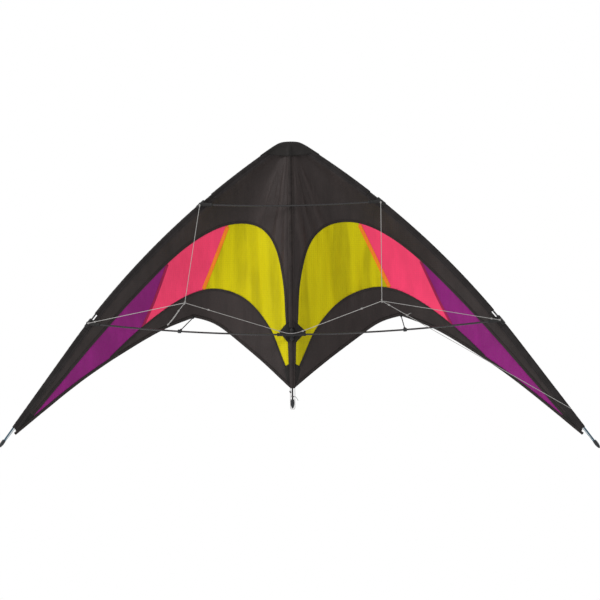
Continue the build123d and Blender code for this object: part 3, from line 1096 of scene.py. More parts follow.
@dataclass
class Wing(Assembly):
    """The cloth of one wing: panels, hem, patches and sewn bands, all cut from one sheet."""

    side: Side = Side.RIGHT
    shape: SailShape = SailShape()
    pattern: SeamPattern = SeamPattern()
    thickness: float = 0.0004
    spacing: float = 0.0062
    row_share: float = 0.866
    spine_edge: float = 0.0015
    tuck: float = 0.014
    bend_from: float = 0.002
    bend_to: float = 0.022
    bend_depth: float = 0.003
    bend_height: float = -0.4
    seam_allowance: float = 1.02

    def tucked_edge(self) -> np.ndarray:
        """Outer edge of the cloth, tucked into the sleeve."""
        return np.array([self.lead.point(s, self.tuck).xz for s in np.linspace(0.004, self.lead.length, 230)])

    def outlines(self) -> list[np.ndarray]:
        """Every line that the cloth's mesh follows."""
        pattern, lead = self.pattern, self.lead
        trail = pattern.trailing()
        spine = np.array([(self.spine_edge, z) for z in np.linspace(-0.012, -0.72, 150)])
        cut = lead.length - pattern.patch_width
        tip = np.array([lead.point(cut, inset).xz for inset in np.linspace(-0.01, 0.12, 24)])
        end = np.array([lead.point(lead.length, inset).xz for inset in np.linspace(0.0, 0.06, 14)])
        curves = [pattern.curve(seam) for seam in (pattern.arch_top, pattern.arch_low)]
        straights = [pattern.straight(seam) for seam in (pattern.inner_low, pattern.yellow_seam, pattern.pink_seam,
                                                         pattern.tee_flare, pattern.tail_side, pattern.tail_top)]
        return [self.tucked_edge(), spine, trail, trail + [0, pattern.hem_rise], tip, end] + curves + straights

    def grid(self, lines: np.ndarray) -> np.ndarray:
        """Even points over the wing, clear of the lines that its mesh follows."""
        rows = []
        for r in range(int(0.86 / (self.spacing * self.row_share))):
            xs = np.arange(0.004 + (r % 2) * self.spacing / 2, 0.84, self.spacing)
            rows.append(np.stack([xs, np.full(len(xs), -0.008 - r * self.spacing * self.row_share)], 1))
        grid = np.concatenate(rows)
        trail = self.pattern.trailing()
        low = np.interp(grid[:, 0], trail[:, 0], trail[:, 1])
        grid = grid[(grid[:, 0] < self.shape.reach(grid[:, 1])) & (grid[:, 1] > low)]
        near = np.zeros(len(grid), bool)
        for start in range(0, len(lines), 200):
            part = lines[start:start + 200]
            gap = np.hypot(grid[:, None, 0] - part[None, :, 0], grid[:, None, 1] - part[None, :, 1])
            near |= gap.min(axis=1) < self.spacing * 0.45
        return grid[~near]

    def cut(self) -> tuple[np.ndarray, np.ndarray, list[Cloth]]:
        """Triangles of the flat wing.

        Returns:
            Points as X and Z, triangles as point numbers, and each triangle's panel.
        """
        lines = self.outlines()
        points = np.concatenate(lines)
        edges, offset = [], 0
        for line in lines:
            edges += [(offset + i, offset + i + 1) for i in range(len(line) - 1)]
            offset += len(line)
        coords = [Vector(tuple(p)) for p in np.concatenate([points, self.grid(points)])]
        flat, _, triangles, *_ = geometry.delaunay_2d_cdt(coords, edges, [], 0, 1e-5)
        flat = np.array([tuple(v) for v in flat])
        triangles = np.array([tuple(t) for t in triangles if len(t) == 3])
        middles = flat[triangles].mean(axis=1)
        edge = self.tucked_edge()
        reach = np.interp(-middles[:, 1], -edge[:, 1], edge[:, 0], left=-1, right=-1)
        last, away = self.lead.point(self.lead.length, 0), self.lead.direction(self.lead.length)
        beyond = (middles[:, 0] - last.x) * away.x + (middles[:, 1] - last.z) * away.z > 0
        out = (middles[:, 0] > reach) | (middles[:, 0] < self.spine_edge) | beyond
        panels = self.pattern.sort(middles, self.lead)
        return flat, triangles, [Cloth.NONE if o else p for o, p in zip(out, panels)]

    def panel(self, cloth: Cloth, flat: np.ndarray, triangles: np.ndarray) -> None:
        """Hangs one panel as a thin closed sheet.

        Args:
            cloth: Which panel.
            flat: The wing's points.
            triangles: The panel's triangles.
        """
        used, numbers = np.unique(triangles, return_inverse=True)
        faces = numbers.reshape(triangles.shape)
        x, z = flat[used].T
        spots = np.stack([x * self.side.value, self.shape.depth(x, z, self.side), z], 1)
        a, b, c = (spots[faces[:, i]] for i in range(3))
        area = float(np.linalg.norm(np.cross(b - a, c - a), axis=1).sum() / 2)
        if self.side is Side.RIGHT:
            faces = faces[:, ::-1]
        node = self.side.label + cloth.value
        piece = self.lay(node + "_cloth", (spots, list(faces)), cloth.finish, node if node in frame["nodes"] else "")
        solid = piece.modifiers.new("thickness", "SOLIDIFY")
        solid.thickness = self.thickness
        solid.offset = 0.0
        if cloth in (Cloth.PINK, Cloth.PURPLE, Cloth.TIP):
            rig.ride(piece, self.side.wing)
        else:
            self.bend(piece, self.side, self.bend_from, self.bend_to, self.bend_depth, self.bend_height)
        self.declare(piece, np.ptp(flat[used], axis=0), area)

    def declare(self, piece: Piece, extent: np.ndarray, area: float) -> None:
        """Declares a panel as stretched cloth cut to its own outline.

        Args:
            piece: The panel.
            extent: Width and height of its outline.
            area: Its area.
        """
        width, length = (float(size) * self.seam_allowance for size in extent)
        if area < 0.3 * width * length:
            width *= area / (0.35 * width * length)
        elif area > width * length:
            length *= area * 1.001 / (width * length)
        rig.sheet(piece, flat=(width, length), held="stretched", area=area, rests_on=[])

    def tape(self, name: str, line: np.ndarray, width: float, lift: float, finish: str) -> Piece:
        """A narrow band sewn over both faces of the cloth.

        Args:
            name: The piece's name without its side.
            line: Its centre line as X and Z.
            width: Its width.
            lift: How far its faces stand off the cloth's middle.
            finish: Its finish's name.

        Returns:
            The band.
        """
        square = across(line)
        along = np.concatenate([[0], np.cumsum(np.linalg.norm(np.diff(line, axis=0), axis=1))])
        section = [(k / 4 - 0.5, -lift) for k in range(5)] + [(0.5 - k / 4, lift) for k in range(5)]
        rings, uvs = np.zeros((len(line), len(section), 3)), np.zeros((len(line), len(section), 2))
        for k, (offset, away) in enumerate(section):
            spot = line + square * width * offset
            y = self.shape.depth(spot[:, 0], spot[:, 1], self.side) + away
            rings[:, k] = np.stack([spot[:, 0] * self.side.value, y, spot[:, 1]], 1)
            uvs[:, k] = np.stack([along, np.full(len(line), (offset + 0.5) * width)], 1)
        points, faces = loft(list(rings))
        if self.side is Side.LEFT:
            faces = [face[::-1] for face in faces]
        return self.lay(self.side.label + name, (points, faces), finish, uvs=uvs.reshape(-1, 2))

    def bands(self) -> None:
        """Overlaps between the coloured panels, and the sewn bands along the arches and the trailing edge."""
        pattern = self.pattern
        coloured = (Cloth.YELLOW, Cloth.PINK, Cloth.PURPLE)
        for name, seam, width, finish in (("yellow_overlap", pattern.yellow_seam, 0.0105, "orange_overlap"),
                                          ("pink_overlap", pattern.pink_seam, 0.0065, "magenta_overlap")):
            line = pattern.straight(seam)
            keep = [cloth in coloured for cloth in pattern.sort(line + [0.001, 0], self.lead)]
            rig.ride(self.tape(name, line[keep], width, 0.0006, finish), self.side.wing)
        outside = (Cloth.NONE, Cloth.TIP)
        for name, line, shift, width, left_out in (
                ("upper_arch_band", pattern.curve(pattern.arch_top), 0.0025, 0.007, outside + (Cloth.HEM,)),
                ("lower_arch_band", pattern.curve(pattern.arch_low), -0.0025, 0.007, outside + (Cloth.HEM,)),
                ("trailing_band", pattern.trailing(), 0.0037, 0.0078, outside)):
            line = line + across(line) * shift
            keep = np.array([kind not in left_out for kind in pattern.sort(line, self.lead)])
            line = line[keep & (line[:, 0] < self.shape.reach(line[:, 1]))]
            self.bend(self.tape(name, line, width, 0.0008, "seam"), self.side, self.bend_from, self.bend_to,
                      self.bend_depth, self.bend_height)

    def build(self) -> None:
        """Cuts and hangs every panel of the wing."""
        flat, triangles, panels = self.cut()
        for cloth in Cloth:
            chosen = triangles[[p is cloth for p in panels]]
            if cloth is not Cloth.NONE and len(chosen):
                self.panel(cloth, flat, chosen)
        self.bands()


@dataclass
class Sleeve(Assembly):
    """Folded leading-edge tunnel of one wing, open round both spreader fittings."""

    side: Side = Side.RIGHT
    outline: Outline = ((0.0150, 0.0022), (0.0105, 0.0015), (0.0066, -0.0004), (0.0030, -0.0029), (0.0, -0.0040),
                        (-0.0028, -0.0030), (-0.0041, 0.0), (-0.0029, 0.0030), (0.0, 0.0042), (0.0045, 0.0046),
                        (0.0100, 0.0045), (0.0150, 0.0042))
    nose_gap: float = 0.018
    upper_bare: float = 0.042
    lower_bare: float = 0.034
    tail_bare: float = 0.0155
    slit: float = 0.0056
    slit_middle: float = 0.024
    slit_half: float = 0.0105
    covered: float = -0.0012
    pucker: float = 0.00022
    tab: Turning = Turning(((-0.0019, 0.0002), (-0.0017, 0.0036), (-0.0006, 0.0053), (0.0006, 0.0053),
                            (0.0017, 0.0036), (0.0019, 0.0002)), 0.0007, 24)

    def axis(self, station: float) -> Vector:
        """Point on the edge rod's axis."""
        return self.lead.point(station, self.lead.rod_inset, 0, self.side)

    def ring(self, station: float, inner: float) -> np.ndarray:
        """Section of the tunnel.

        Args:
            station: Length along the edge.
            inner: How far from the rod's axis the section starts, to leave a rod bare.

        Returns:
            The section's points.
        """
        direction = self.lead.direction(station, self.side)
        inward = Vector((direction.z * self.side.value, 0, -direction.x * self.side.value))
        profile = smooth_curve(list(self.outline) + [self.outline[0]], 0.0016)[:-1]
        ring = []
        for k, (u, y) in enumerate(profile):
            pucker = self.pucker * sin(station * 330 + k * 0.6 + self.side.value) * (1 if u < 0.012 else 0.3)
            if u <= inner:
                u, y = inner, 0.0024 if k < len(profile) / 2 else 0.0043
            ring.append(tuple(self.axis(station) + inward * (u + pucker * 0.4) + Vector((0, y + pucker, 0))))
        return np.array(ring)

    def strip_edge(self, station: float) -> float:
        """Inner edge of the strip that passes a fitting: it only leaves a slit above each lower fitting."""
        open_slit = abs(station - (self.lead.lower_station - self.slit_middle)) < self.slit_half
        return self.slit if open_slit else self.covered

    def build(self) -> None:
        """Builds the tunnel, the narrow strips that pass the fittings, and the tab at the tip corner."""
        shapes, uvs = [], []
        upper, lower = self.lead.upper_station, self.lead.lower_station
        stops = [self.nose_gap, upper - self.upper_bare, upper + self.tail_bare, lower - self.lower_bare,
                 lower + self.tail_bare, self.lead.length]
        for index, (start, end) in enumerate(zip(stops, stops[1:])):
            sleeved = index % 2 == 0
            rings = []
            for s in np.linspace(start, end, max(int((end - start) / 0.004), 6)):
                ring, centre = self.ring(s, -1.0 if sleeved else self.strip_edge(s)), np.array(tuple(self.axis(s)))
                if sleeved and min(s - start, end - s) < 0.0015:
                    ring = centre + (ring - centre) * 0.97
                rings.append(ring)
                flat_gap = np.linalg.norm((ring - centre)[:, ::2], axis=1)
                uvs.append(np.stack([np.full(len(ring), s), flat_gap], 1))
            shapes.append(loft(rings))
        self.lay(self.side.label + "sleeve", merge(shapes), "binding", self.side.label + "leading_sleeve",
                 self.side.wing, uvs=np.concatenate(uvs))
        corner = self.lead.point(self.lead.length - 0.001, 0.0145, 0.0031, self.side)
        self.lay(self.side.label + "tip_tab", self.tab.cut(corner, Vector((0, 1, 0))), "patch", body=self.side.wing)


@dataclass
class Nose(Assembly):
    """Patch folded over the nose, in two halves that bend at the spine."""

    half_width: float = 0.084
    drop: float = 0.036
    shoulder: float = 0.0276
    rounding: float = 0.0045
    slope: float = 0.637
    meet: float = 0.031
    rows: int = 12
    sections: int = 34

    def section(self, x: float, edge: np.ndarray) -> list[Point]:
        """Section at a distance from the spine: up the front skin, over the edge and down the back skin."""
        fall = self.slope * (x - self.shoulder)
        dome = 0.0004 - self.rounding * float(np.log1p(np.exp(fall / self.rounding)))
        top = dome if x < self.meet else min(dome, float(np.interp(x, edge[:, 0], edge[:, 1])))
        low = -self.drop - 0.004 * (1 - x / self.half_width) + 0.006 * (x / self.half_width) ** 2
        low = min(low, top - 0.002)
        section = []
        for z in low + (top - low) * np.linspace(0, 1, self.rows):
            rod = max(np.exp(-(x / 0.006) ** 2), np.exp(-((top - z - 0.004) / 0.007) ** 2))
            section.append((x, -(0.0012 + 0.0040 * rod), z))
        section[-1] = (x, -0.0032, section[-1][2])
        back = [(x, 0.0052, z) for z in low + (top - low) * np.linspace(1, 0, self.rows)]
        back[0] = (x, 0.0036, back[0][2])
        return section + [(x, 0.0, top + 0.0010)] + back

    def build(self) -> None:
        """Both halves, each a front and a back skin joined along the leading edge."""
        edge = self.lead.table(-0.0012)
        rings = [np.array(self.section(x, edge)) for x in np.linspace(0.0, self.half_width, self.sections)]
        for side in Side:
            points, faces = loft([ring * [side.value, 1, 1] for ring in rings])
            uvs = np.stack([points[:, 0], points[:, 2] + self.drop], 1)
            half = self.lay(side.label + "nose_half", (points, faces), "patch", uvs=uvs)
            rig.replaces(half, side.label + "nose_plate", "nose_patch")
            self.bend(half, side, 0.003, 0.02, 0, -0.02)


@dataclass
class SpineStrip(Assembly):
    """Cloth tunnel over the spine, open at the centre tee."""

    half_width: float = 0.0075
    lengths: Outline = ((-0.034, -0.527), (-0.565, -0.699))
    pucker: float = 0.00025

    def ring(self, z: float) -> np.ndarray:
        """Section of the tunnel at a height."""
        w = self.half_width
        outline = [(-w, 0.0023), (-0.0052, 0.0014), (-0.0036, -0.0016), (-0.002, -0.0033), (0.0, -0.0039),
                   (0.002, -0.0033), (0.0036, -0.0016), (0.0052, 0.0014), (w, 0.0023), (w, 0.0044), (0.0, 0.0047),
                   (-w, 0.0044)]
        section = smooth_curve(outline + [outline[0]], 0.0012)[:-1]
        return np.array([(x, y + self.pucker * sin(z * 260), z) for x, y in section])

    def build(self) -> None:
        """Builds the tunnel in two lengths."""
        shapes = [loft([self.ring(z) for z in np.linspace(start, end, int(abs(end - start) / 0.005))])
                  for start, end in self.lengths]
        points, faces = merge(shapes)
        uvs = np.stack([points[:, 2], np.abs(points[:, 0]) + 0.0045], 1)
        self.lay("spine_tunnel", (points, faces), "tunnel", "centre_strip", "frame", uvs=uvs)


# ---------------------------------------------------------------- mouldings


def grooves(count: int, pitch: float, groove: Outline) -> Outline:
    """Profile of one groove repeated along a turned shape, from a little behind its mouth."""
    return tuple((0.0045 + k * pitch + along, radius) for k in range(count) for along, radius in groove)


@dataclass
class Fittings(Assembly):
    """Moulded vinyl fittings that hold the spreaders on the leading-edge rods."""

    half_collar: float = 0.015
    collar: Turning = Turning(((0, 0.0015), (0, 0.0046), (0.0025, 0.0056), (0.0275, 0.0056), (0.03, 0.0046),
                               (0.03, 0.0015)), 0.001)
    socket: Turning = Turning(((-0.004, 0.0005), (-0.004, 0.0046), (0.004, 0.0054), (0.03, 0.0047),
                               (0.031, 0.0055), (0.035, 0.0055), (0.036, 0.0049), (0.036, 0.0022)), 0.0008)
    web: Turning = Turning(((-0.001, 0.0005), (-0.001, 0.006), (0.009, 0.0052), (0.0095, 0.0005)), 0.001)

    def build_one(self, side: Side, station: float, toward: Vector, node: str) -> None:
        """One fitting: a collar round the edge rod melted into a lipped socket.

        Args:
            side: Which wing.
            station: Length along the leading edge.
            toward: Direction from the fitting along its spreader.
            node: The CAD node it stands for, without its side.
        """
        along = self.lead.direction(station, side)
        centre = self.lead.point(station, self.lead.rod_inset, 0, side)
        end = self.spreaders.end(station, side)
        shapes = [self.collar.cut(centre - along * self.half_collar, along), self.socket.cut(end, toward),
                  self.web.cut(centre, end - centre)]
        node = side.label + node
        self.lay(node + "_moulding", merge(shapes), "fitting", node, side.wing, voxel=0.0007)

    def build(self) -> None:
        """All four fittings."""
        for side in Side:
            self.build_one(side, self.lead.lower_station, self.spreaders.heading(1, 0.97, side), "lower_fitting")
            level = Vector((-side.value, 0, -0.05)).normalized()
            self.build_one(side, self.lead.upper_station, level, "upper_fitting")


@dataclass
class CentreTee(Assembly):
    """Centre tee: a hub on the spine and two flexible arms that take the lower spreaders."""

    hub: Turning = Turning(((0, 0.0015), (0, 0.0050), (0.003, 0.0060), (0.031, 0.0060), (0.034, 0.0050),
                            (0.034, 0.0015)), 0.001)
    belly: Turning = Turning(((-0.0125, 0.0005), (-0.0125, 0.0040), (-0.009, 0.0052), (0.009, 0.0052),
                              (0.0125, 0.0040), (0.0125, 0.0005)), 0.001)
    web: Turning = Turning(((0, 0.001), (0, 0.0070), (0.009, 0.0056), (0.0095, 0.001)), 0.001)
    arm: Turning = Turning(((0, 0.0005), (0, 0.0044))
                           + grooves(6, 0.0028, ((0, 0.0048), (0.0007, 0.0042), (0.0014, 0.0042), (0.0021, 0.0048)))
                           + ((0.026, 0.0047), (0.03, 0.0043), (0.0305, 0.0049), (0.035, 0.0048), (0.035, 0.0023)),
                           0.0004, 32)

    def build(self) -> None:
        """Hub and arms."""
        drop, offset = self.spreaders.tee_drop, self.spreaders.offset
        shapes = [self.hub.cut(Vector((0, 0, 0.017 - drop)), Vector((0, 0, -1))),
                  self.belly.cut(Vector((0, -offset, -drop)), Vector((1, 0, 0))),
                  self.web.cut(Vector((0, 0, -drop)), Vector((0, -1, 0)))]
        self.lay("tee_hub", merge(shapes), "fitting", "centre_tee", "frame", voxel=0.0007)
        for side in Side:
            start = Vector((0.006 * side.value, -offset, -drop))
            shape = self.arm.cut(start, self.spreaders.heading(0, 0.05, side))
            arm = self.lay(side.label + "tee_sleeve", shape, "fitting", side.label + "tee_arm")
            self.bend(arm, side, 0.010, 0.022, -offset, -drop)


@dataclass
class Standoffs(Assembly):
    """Clip and cap of the rods that push each wing's trailing edge back."""

    ring: Turning = Turning(((-0.005, 0.0012), (-0.005, 0.0047), (-0.0035, 0.0053), (0.0035, 0.0053),
                             (0.005, 0.0047), (0.005, 0.0012)), 0.0008)
    socket: Turning = Turning(((0.0, 0.0005), (0.0, 0.0040), (0.006, 0.0034), (0.0155, 0.0033), (0.0165, 0.0029),
                               (0.0168, 0.0014)), 0.0006)
    cap: Turning = Turning(((-0.0056, 0.0014), (-0.0056, 0.0029), (-0.0048, 0.0033), (0.0025, 0.0033),
                            (0.0046, 0.0026), (0.0052, 0.0005)), 0.0008, 24)

    def build(self) -> None:
        """Both clips and caps, on the CAD rods."""
        for side in Side:
            label = side.label
            hub = self.spreaders.lower(self.spreaders.part_at(self.spreaders.standoff_x), side)
            target = sum(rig.box(label + "standoff_cap"), Vector()) / 2
            aim = (target - hub).normalized()
            shapes = [self.ring.cut(hub, self.spreaders.heading(0.5, 0.6, side)), self.socket.cut(hub, aim)]
            self.lay(label + "clip_moulding", merge(shapes), "hard_fitting", label + "standoff_clip", side.standoff,
                     voxel=0.0005)
            self.lay(label + "cap_moulding", self.cap.cut(target, aim), "hard_fitting", label + "standoff_cap",
                     side.standoff)


@dataclass
class Nocks(Assembly):
    """Push-on end caps of the spine and of both leading-edge rods."""

    seat: float = 0.0157
    nock: Turning = Turning(((0.0004, 0.0022), (0.0, 0.0046), (0.0015, 0.0052), (0.003, 0.0048))
                            + grooves(3, 0.0024, ((0, 0.0056), (0.0008, 0.0050), (0.0016, 0.0056)))
                            + ((0.014, 0.0054), (0.019, 0.0044), (0.0235, 0.0030), (0.0255, 0.0016),
                               (0.026, 0.0003)), 0.0007, 36)

    def build(self) -> None:
        """Tip nocks and the tail nock, each from its mouth to its tip."""
        for side in Side:
            station = self.lead.length + self.lead.rod_overhang - self.seat
            mouth = self.lead.point(station, self.lead.rod_inset, 0, side)
            node = side.label + "tip_nock"
            self.lay(node + "_moulding", self.nock.cut(mouth, self.lead.direction(station, side)), "hard_fitting",
                     node, side.wing)
        mouth = Vector((0, 0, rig.box("tail_nock")[1].z))
        self.lay("tail_nock_moulding", self.nock.cut(mouth, Vector((0, 0, -1))), "hard_fitting", "tail_nock", "frame")


# ---------------------------------------------------------------- lines


@dataclass
class Lines(Assembly):
    """Bridle legs, leaders, the flying line and the tension lines."""

    diameter: float = 0.0016
    loop_diameter: float = 0.0014
    whisker_share: float = 0.8
    tow: Point = (0.271, -0.190, -0.451)
    leg_front: float = 0.005
    leader_share: float = 0.13
    pigtail: tuple[float, float] = (0.047, -0.059)
    hitch_station: float = 1.076
    yoke_x: float = 0.030
    yoke_rise: float = 0.009
    loop_half: float = 0.0066
    loop_y: float = 0.0031

    def declare(self, line: tuple[Piece, list[Point]], diameter: float, node: str, body: str, far_end: str) -> None:
        """Args:
            line: The line and its centreline.
            diameter: Its thickness.
            node: The CAD node it stands for.
            body: The body it rides on.
            far_end: What is on its far end.
        """
        piece, path = line
        length = sum((Vector(b) - Vector(a)).length for a, b in zip(path, path[1:]))
        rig.replaces(piece, node)
        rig.ride(piece, body)
        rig.cord(piece, exit=path[0], length=length, diameter=diameter, far_end=far_end, stiffness="limp",
                lay="taut", path=path)
        LOG.info("%s: length %.3f", piece.name, length)

    def strand(self, side: Side, name: str, start: Vector, end: Vector, node: str, far_end: str,
               finish: str = "bridle_line") -> None:
        """A tight line between two points.

        Args:
            side: Which wing it rides on.
            name: The piece's name.
            start: Where it leaves the kite or another line.
            end: Its far end.
            node: The CAD node it stands for.
            far_end: What is on its far end.
            finish: Its finish's name.
        """
        ease = (end - start).normalized() * self.diameter * 6
        points = [tuple(spot) for spot in (start, start + ease, end - ease, end)]
        line = add_line(name, points, self.diameter, self.finishes[finish])
        self.declare(line, self.diameter, node, side.wing, far_end)

    def whisker(self, name: str, points: list[Point], body: str, finish: str, share: float) -> None:
        """A short free stretch of line, as thick as a share of the line's own diameter."""
        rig.ride(add_line(name, points, self.diameter * share, self.finishes[finish])[0], body)

    def knot(self, centre: Vector, direction: Vector, size: float, turns: int = 3) -> Shape:
        """A wound knot: coils round the line, tight at the ends.

        Args:
            centre: Its middle.
            direction: The line's direction.
            size: Its length.
            turns: How many coils show.

        Returns:
            The points and the faces.
        """
        side, up = basis(direction)
        ahead, steps, path = direction.normalized(), turns * 14, []
        for t in (k / steps for k in range(steps + 1)):
            angle = 2 * pi * turns * t
            radius = self.diameter * (0.75 + 0.35 * sin(pi * t))
            path.append(centre + ahead * (size * (t - 0.5)) + side * radius * cos(angle) + up * radius * sin(angle))
        headings = [after - before for before, after in zip(path[:1] + path, path[1:] + path[-1:])]
        return loft([ring_about(spot, heading, self.diameter / 2, 8) for spot, heading in zip(path, headings)])

    def knots(self, name: str, spots: list[tuple], body: str, finish: str = "bridle_line") -> None:
        """Several knots as one piece, each given by its middle, direction, length and turns."""
        self.lay(name, merge([self.knot(*spot) for spot in spots]), finish, body=body)

    def yoke(self, side: Side, start: Vector) -> None:
        """Half of the short line that ties both inner legs together across the tee."""
        y, z = -self.spreaders.offset - 0.0066, -self.spreaders.tee_drop + 0.0035
        middle = Vector((0, y, z))
        points = [tuple(start), tuple(start.lerp(middle, 0.4) + Vector((0, -0.0012, -0.0014))),
                  (0.006 * side.value, y, z), tuple(middle)]
        piece, _ = add_line(side.label + "tee_yoke", points, self.diameter, self.finishes["bridle_line"])
        self.bend(piece, side, 0.010, 0.022, start.y, start.z)

    def bridle(self, side: Side) -> None:
        """One bridle: three legs, their knots, and the leader."""
        tow = Vector((self.tow[0] * side.value, self.tow[1], self.tow[2]))
        front = Vector((0, -self.leg_front, 0))
        yoke_end = Vector((self.yoke_x * side.value, -self.spreaders.offset - 0.0048,
                           -self.spreaders.tee_drop + self.yoke_rise))
        starts = {"upper_leg": self.spreaders.end(self.lead.upper_station, side) + front,
                  "lower_leg": self.spreaders.end(self.lead.lower_station, side) + front,
                  "inner_leg": yoke_end}
        spots = []
        for leg, start in starts.items():
            toward = (tow - start).normalized()
            self.strand(side, side.label + leg + "_line", start, tow - toward * 0.003, side.label + leg, "knot")
            spots.append((start + toward * 0.004, toward, 0.006))
            if leg == "lower_leg":
                spots.append((start + toward * 0.030, toward, 0.005))
            if leg == "inner_leg":
                spots.append((tow - toward * 0.075, toward, 0.005))
        spots.append((tow, Vector((side.value * 0.3, 0, -1)), 0.009, 4))
        self.yoke(side, yoke_end)
        self.knots(side.label + "bridle_knots", spots, side.wing)
        if side is Side.RIGHT:
            self.right_leader(tow)
        else:
            self.left_leader(tow)

    def left_leader(self, tow: Vector) -> None:
        """The short lead at the left tow point, doubled back on itself."""
        side = Side.LEFT
        end = tow + Vector((-self.pigtail[0], 0, self.pigtail[1]))
        heading = (end - tow).normalized()
        self.strand(side, "left_leader_line", tow, end, "left_leader", "knot")
        self.knots("left_leader_knots", [(end, heading, 0.006)], side.wing)
        beside = basis(heading)[0] * 0.0019
        double = tow + (end - tow) * 0.38
        points = [tuple(p) for p in (double, double.lerp(end, 0.3) + beside, double.lerp(end, 0.7) + beside, end)]
        self.whisker("left_leader_return", points, side.wing, "bridle_line", 1.0)
        self.knots("left_return_knot", [(double, heading, 0.006)], side.wing)

    def right_leader(self, tow: Vector) -> None:
        """The short lead at the right tow point, and the flying line hitched near the tip."""
        side = Side.RIGHT
        hitch = self.lead.point(self.hitch_station, 0, -self.lead.rod_inset, side)
        end = tow + (hitch - tow) * self.leader_share
        heading = (end - tow).normalized()
        self.strand(side, "right_leader_line", tow, end, "right_leader", "knot")
        self.knots("right_leader_knots", [(end, heading, 0.006)], side.wing)
        self.knots("right_middle_knot", [(tow + (end - tow) * 0.28, heading, 0.006)], side.wing)
        points = [tuple(end + Vector(away)) for away in ((0, 0, 0), (0.004, -0.0015, 0.004), (0.011, -0.001, 0.006))]
        self.whisker("right_leader_whisker", points, side.wing, "bridle_line", self.whisker_share)
        self.strand(side, "flying_line_run", end, hitch, "flying_line", "object")

    def tail(self) -> None:
        """Loop that pulls the sail's tail tight."""
        x, y, low = self.loop_half, self.loop_y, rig.box("tail_line")[0].z + 0.0008
        half = [(x, y, -0.700), (x, y, -0.718), (x, y, low + 0.012), (x * 0.95, y, low)]
        points = [(-a, b, c) for a, b, c in half] + [(0.0, y, low - 0.0002)] + half[::-1]
        loop = add_line("tail_loop", points, self.loop_diameter, self.finishes["tension_line"])
        self.declare(loop, self.loop_diameter, "tail_line", "frame", "object")

    def tension(self) -> None:
        """Loops that pull the tail and the tips tight."""
        self.tail()
        for side in Side:
            start = self.lead.point(self.lead.length, 0.0082, self.loop_y, side)
            end = self.lead.point(self.lead.length + 0.069, 0.0066, 0.0005, side)
            self.strand(side, side.label + "tip_tension", start, end, side.label + "tip_line", "object", "tip_line")
        self.knots("tail_knots", [(Vector((-self.loop_half, self.loop_y, -0.709)), Vector((0.4, 0, -1)), 0.006),
                                  (Vector((0.001, -0.0042, -0.722)), Vector((1, 0, -0.2)), 0.007)], "frame",
                   "dark_line")
        self.whisker("tail_whisker", [(0.002, -0.0046, -0.7212), (0.0085, -0.0058, -0.7212),
                                      (0.013, -0.0052, -0.7262), (0.0165, -0.0046, -0.7335)], "frame", "dark_line",
                     self.whisker_share)

    def build(self) -> None:
        """Every line."""
        for side in Side:
            self.bridle(side)
        self.tension()


@dataclass
class Rods(Assembly):
    """The CAD rods, which keep their shape and take a better finish."""

    def build(self) -> None:
        """Gives each rod node its material."""
        dressed = {"spine_rod": "spine_rod", "upper_spreader": "rod"}
        for side in Side:
            dressed |= {side.label + node: finish for node, finish in (
                ("upper_leading_rod", "rod"), ("lower_leading_rod", "tip_rod"), ("lower_spreader", "rod"),
                ("standoff_rod", "rod"), ("leading_ferrule", "ferrule"))}
        for node, finish in dressed.items():
            for slot in frame["nodes"][node].material_slots:
                slot.material = self.finishes[finish]
        LOG.info("%d rods dressed", len(dressed))


# ---------------------------------------------------------------- studio


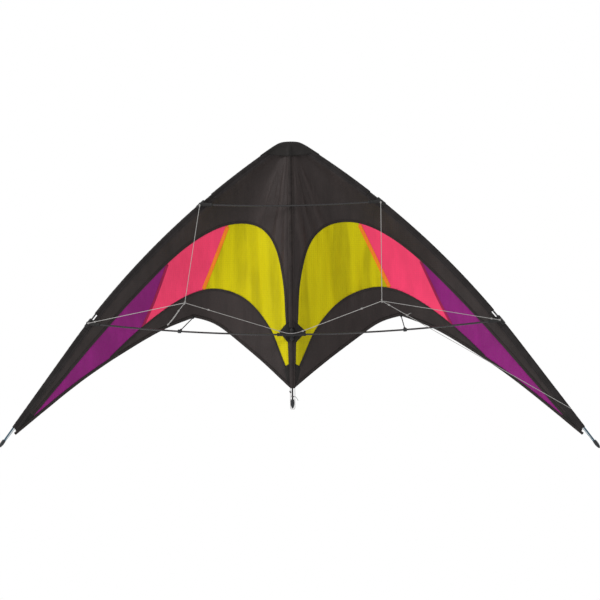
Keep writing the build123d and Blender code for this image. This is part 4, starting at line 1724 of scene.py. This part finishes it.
@dataclass
class Studio(Assembly):
    """Pale floor, soft lights and the camera."""

    floor_drop: float = 1.9
    floor_radius: float = 2.5
    yaw: float = radians(-6.96)
    pitch: float = radians(-0.60)
    roll: float = radians(-0.63)
    distance: float = 4.8
    target: Point = (0.0245, 0.0, -0.4483)
    aim: Point = (0.0, 0.0, -0.45)
    focal_share: float = 1693.0 / 600.0
    sensor: float = 36.0

    def floor(self) -> None:
        """A wide round floor below the kite."""
        angles = [2 * pi * k / 96 for k in range(96)]
        ring = [(self.floor_radius * cos(a), self.floor_radius * sin(a), -self.floor_drop) for a in angles]
        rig.stage(self.lay("studio_floor", (np.array(ring), [tuple(range(len(ring)))]), "floor"))

    def lamp(self, name: str, place: Point, size: float, power: float) -> None:
        """A square soft light that faces the kite."""
        light = bpy.data.lights.new(name, "AREA")
        light.size = size
        light.energy = power
        made = bpy.data.objects.new(name, light)
        made.location = place
        made.rotation_euler = (Vector(self.aim) - Vector(place)).to_track_quat("-Z", "Y").to_euler()
        bpy.context.collection.objects.link(made)

    def lights(self) -> None:
        """Soft key light, a weak fill, a light from behind, and a bright surround."""
        self.lamp("key", (-3.0, -2.0, 1.5), 1.2, 90.0)
        self.lamp("fill", (2.4, -2.8, 0.4), 2.6, 5.0)
        self.lamp("back", (0.6, 3.2, 1.4), 2.4, 40.0)
        world = bpy.data.worlds.new("surround")
        world.use_nodes = True
        world.node_tree.nodes["Background"].inputs[0].default_value = (1.0, 1.0, 1.0, 1.0)
        world.node_tree.nodes["Background"].inputs[1].default_value = 1.0
        bpy.context.scene.world = world
        bpy.context.scene.view_settings.view_transform = "Standard"

    def camera(self) -> None:
        """The camera at the viewing angle."""
        data = bpy.data.cameras.new("camera")
        data.sensor_width = self.sensor
        data.lens = self.focal_share * self.sensor
        ahead = Vector((sin(self.yaw) * cos(self.pitch), cos(self.yaw) * cos(self.pitch), sin(self.pitch)))
        right = Vector((cos(self.yaw), -sin(self.yaw), 0))
        up = right.cross(ahead)
        turned_right = right * cos(self.roll) + up * sin(self.roll)
        turned_up = up * cos(self.roll) - right * sin(self.roll)
        made = bpy.data.objects.new("camera", data)
        rotation = Matrix((turned_right, turned_up, -ahead)).transposed()
        made.matrix_world = Matrix.Translation(Vector(self.target) - ahead * self.distance) @ rotation.to_4x4()
        bpy.context.collection.objects.link(made)
        bpy.context.scene.camera = made

    def build(self) -> None:
        """The whole studio."""
        self.floor()
        self.lights()
        self.camera()


def main() -> None:
    """Builds the kite in order."""
    logging.basicConfig(level=logging.INFO, format="%(message)s")
    finishes = {finish.name: finish.build() for finish in FINISHES}
    assemblies = [Studio(finishes), Lines(finishes), Rods(finishes)]
    for side in Side:
        assemblies += [Wing(finishes, side=side), Sleeve(finishes, side=side)]
    assemblies += [kind(finishes) for kind in (Nose, SpineStrip, Fittings, CentreTee, Standoffs, Nocks)]
    for assembly in assemblies:
        LOG.info("%s", type(assembly).__name__)
        assembly.build()
    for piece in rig.pieces():
        finish = piece.material_slots[0].material.name.split(".")[0]
        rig.slot(piece, SLOTS.get(finish, finish))
    boxes = [[list(map(float, corner)) for corner in box] for box in (CAD_BOX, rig.bounds())]
    with open("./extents.json", "w") as out:
        json.dump(boxes, out)


if __name__ == "__main__":
    main()
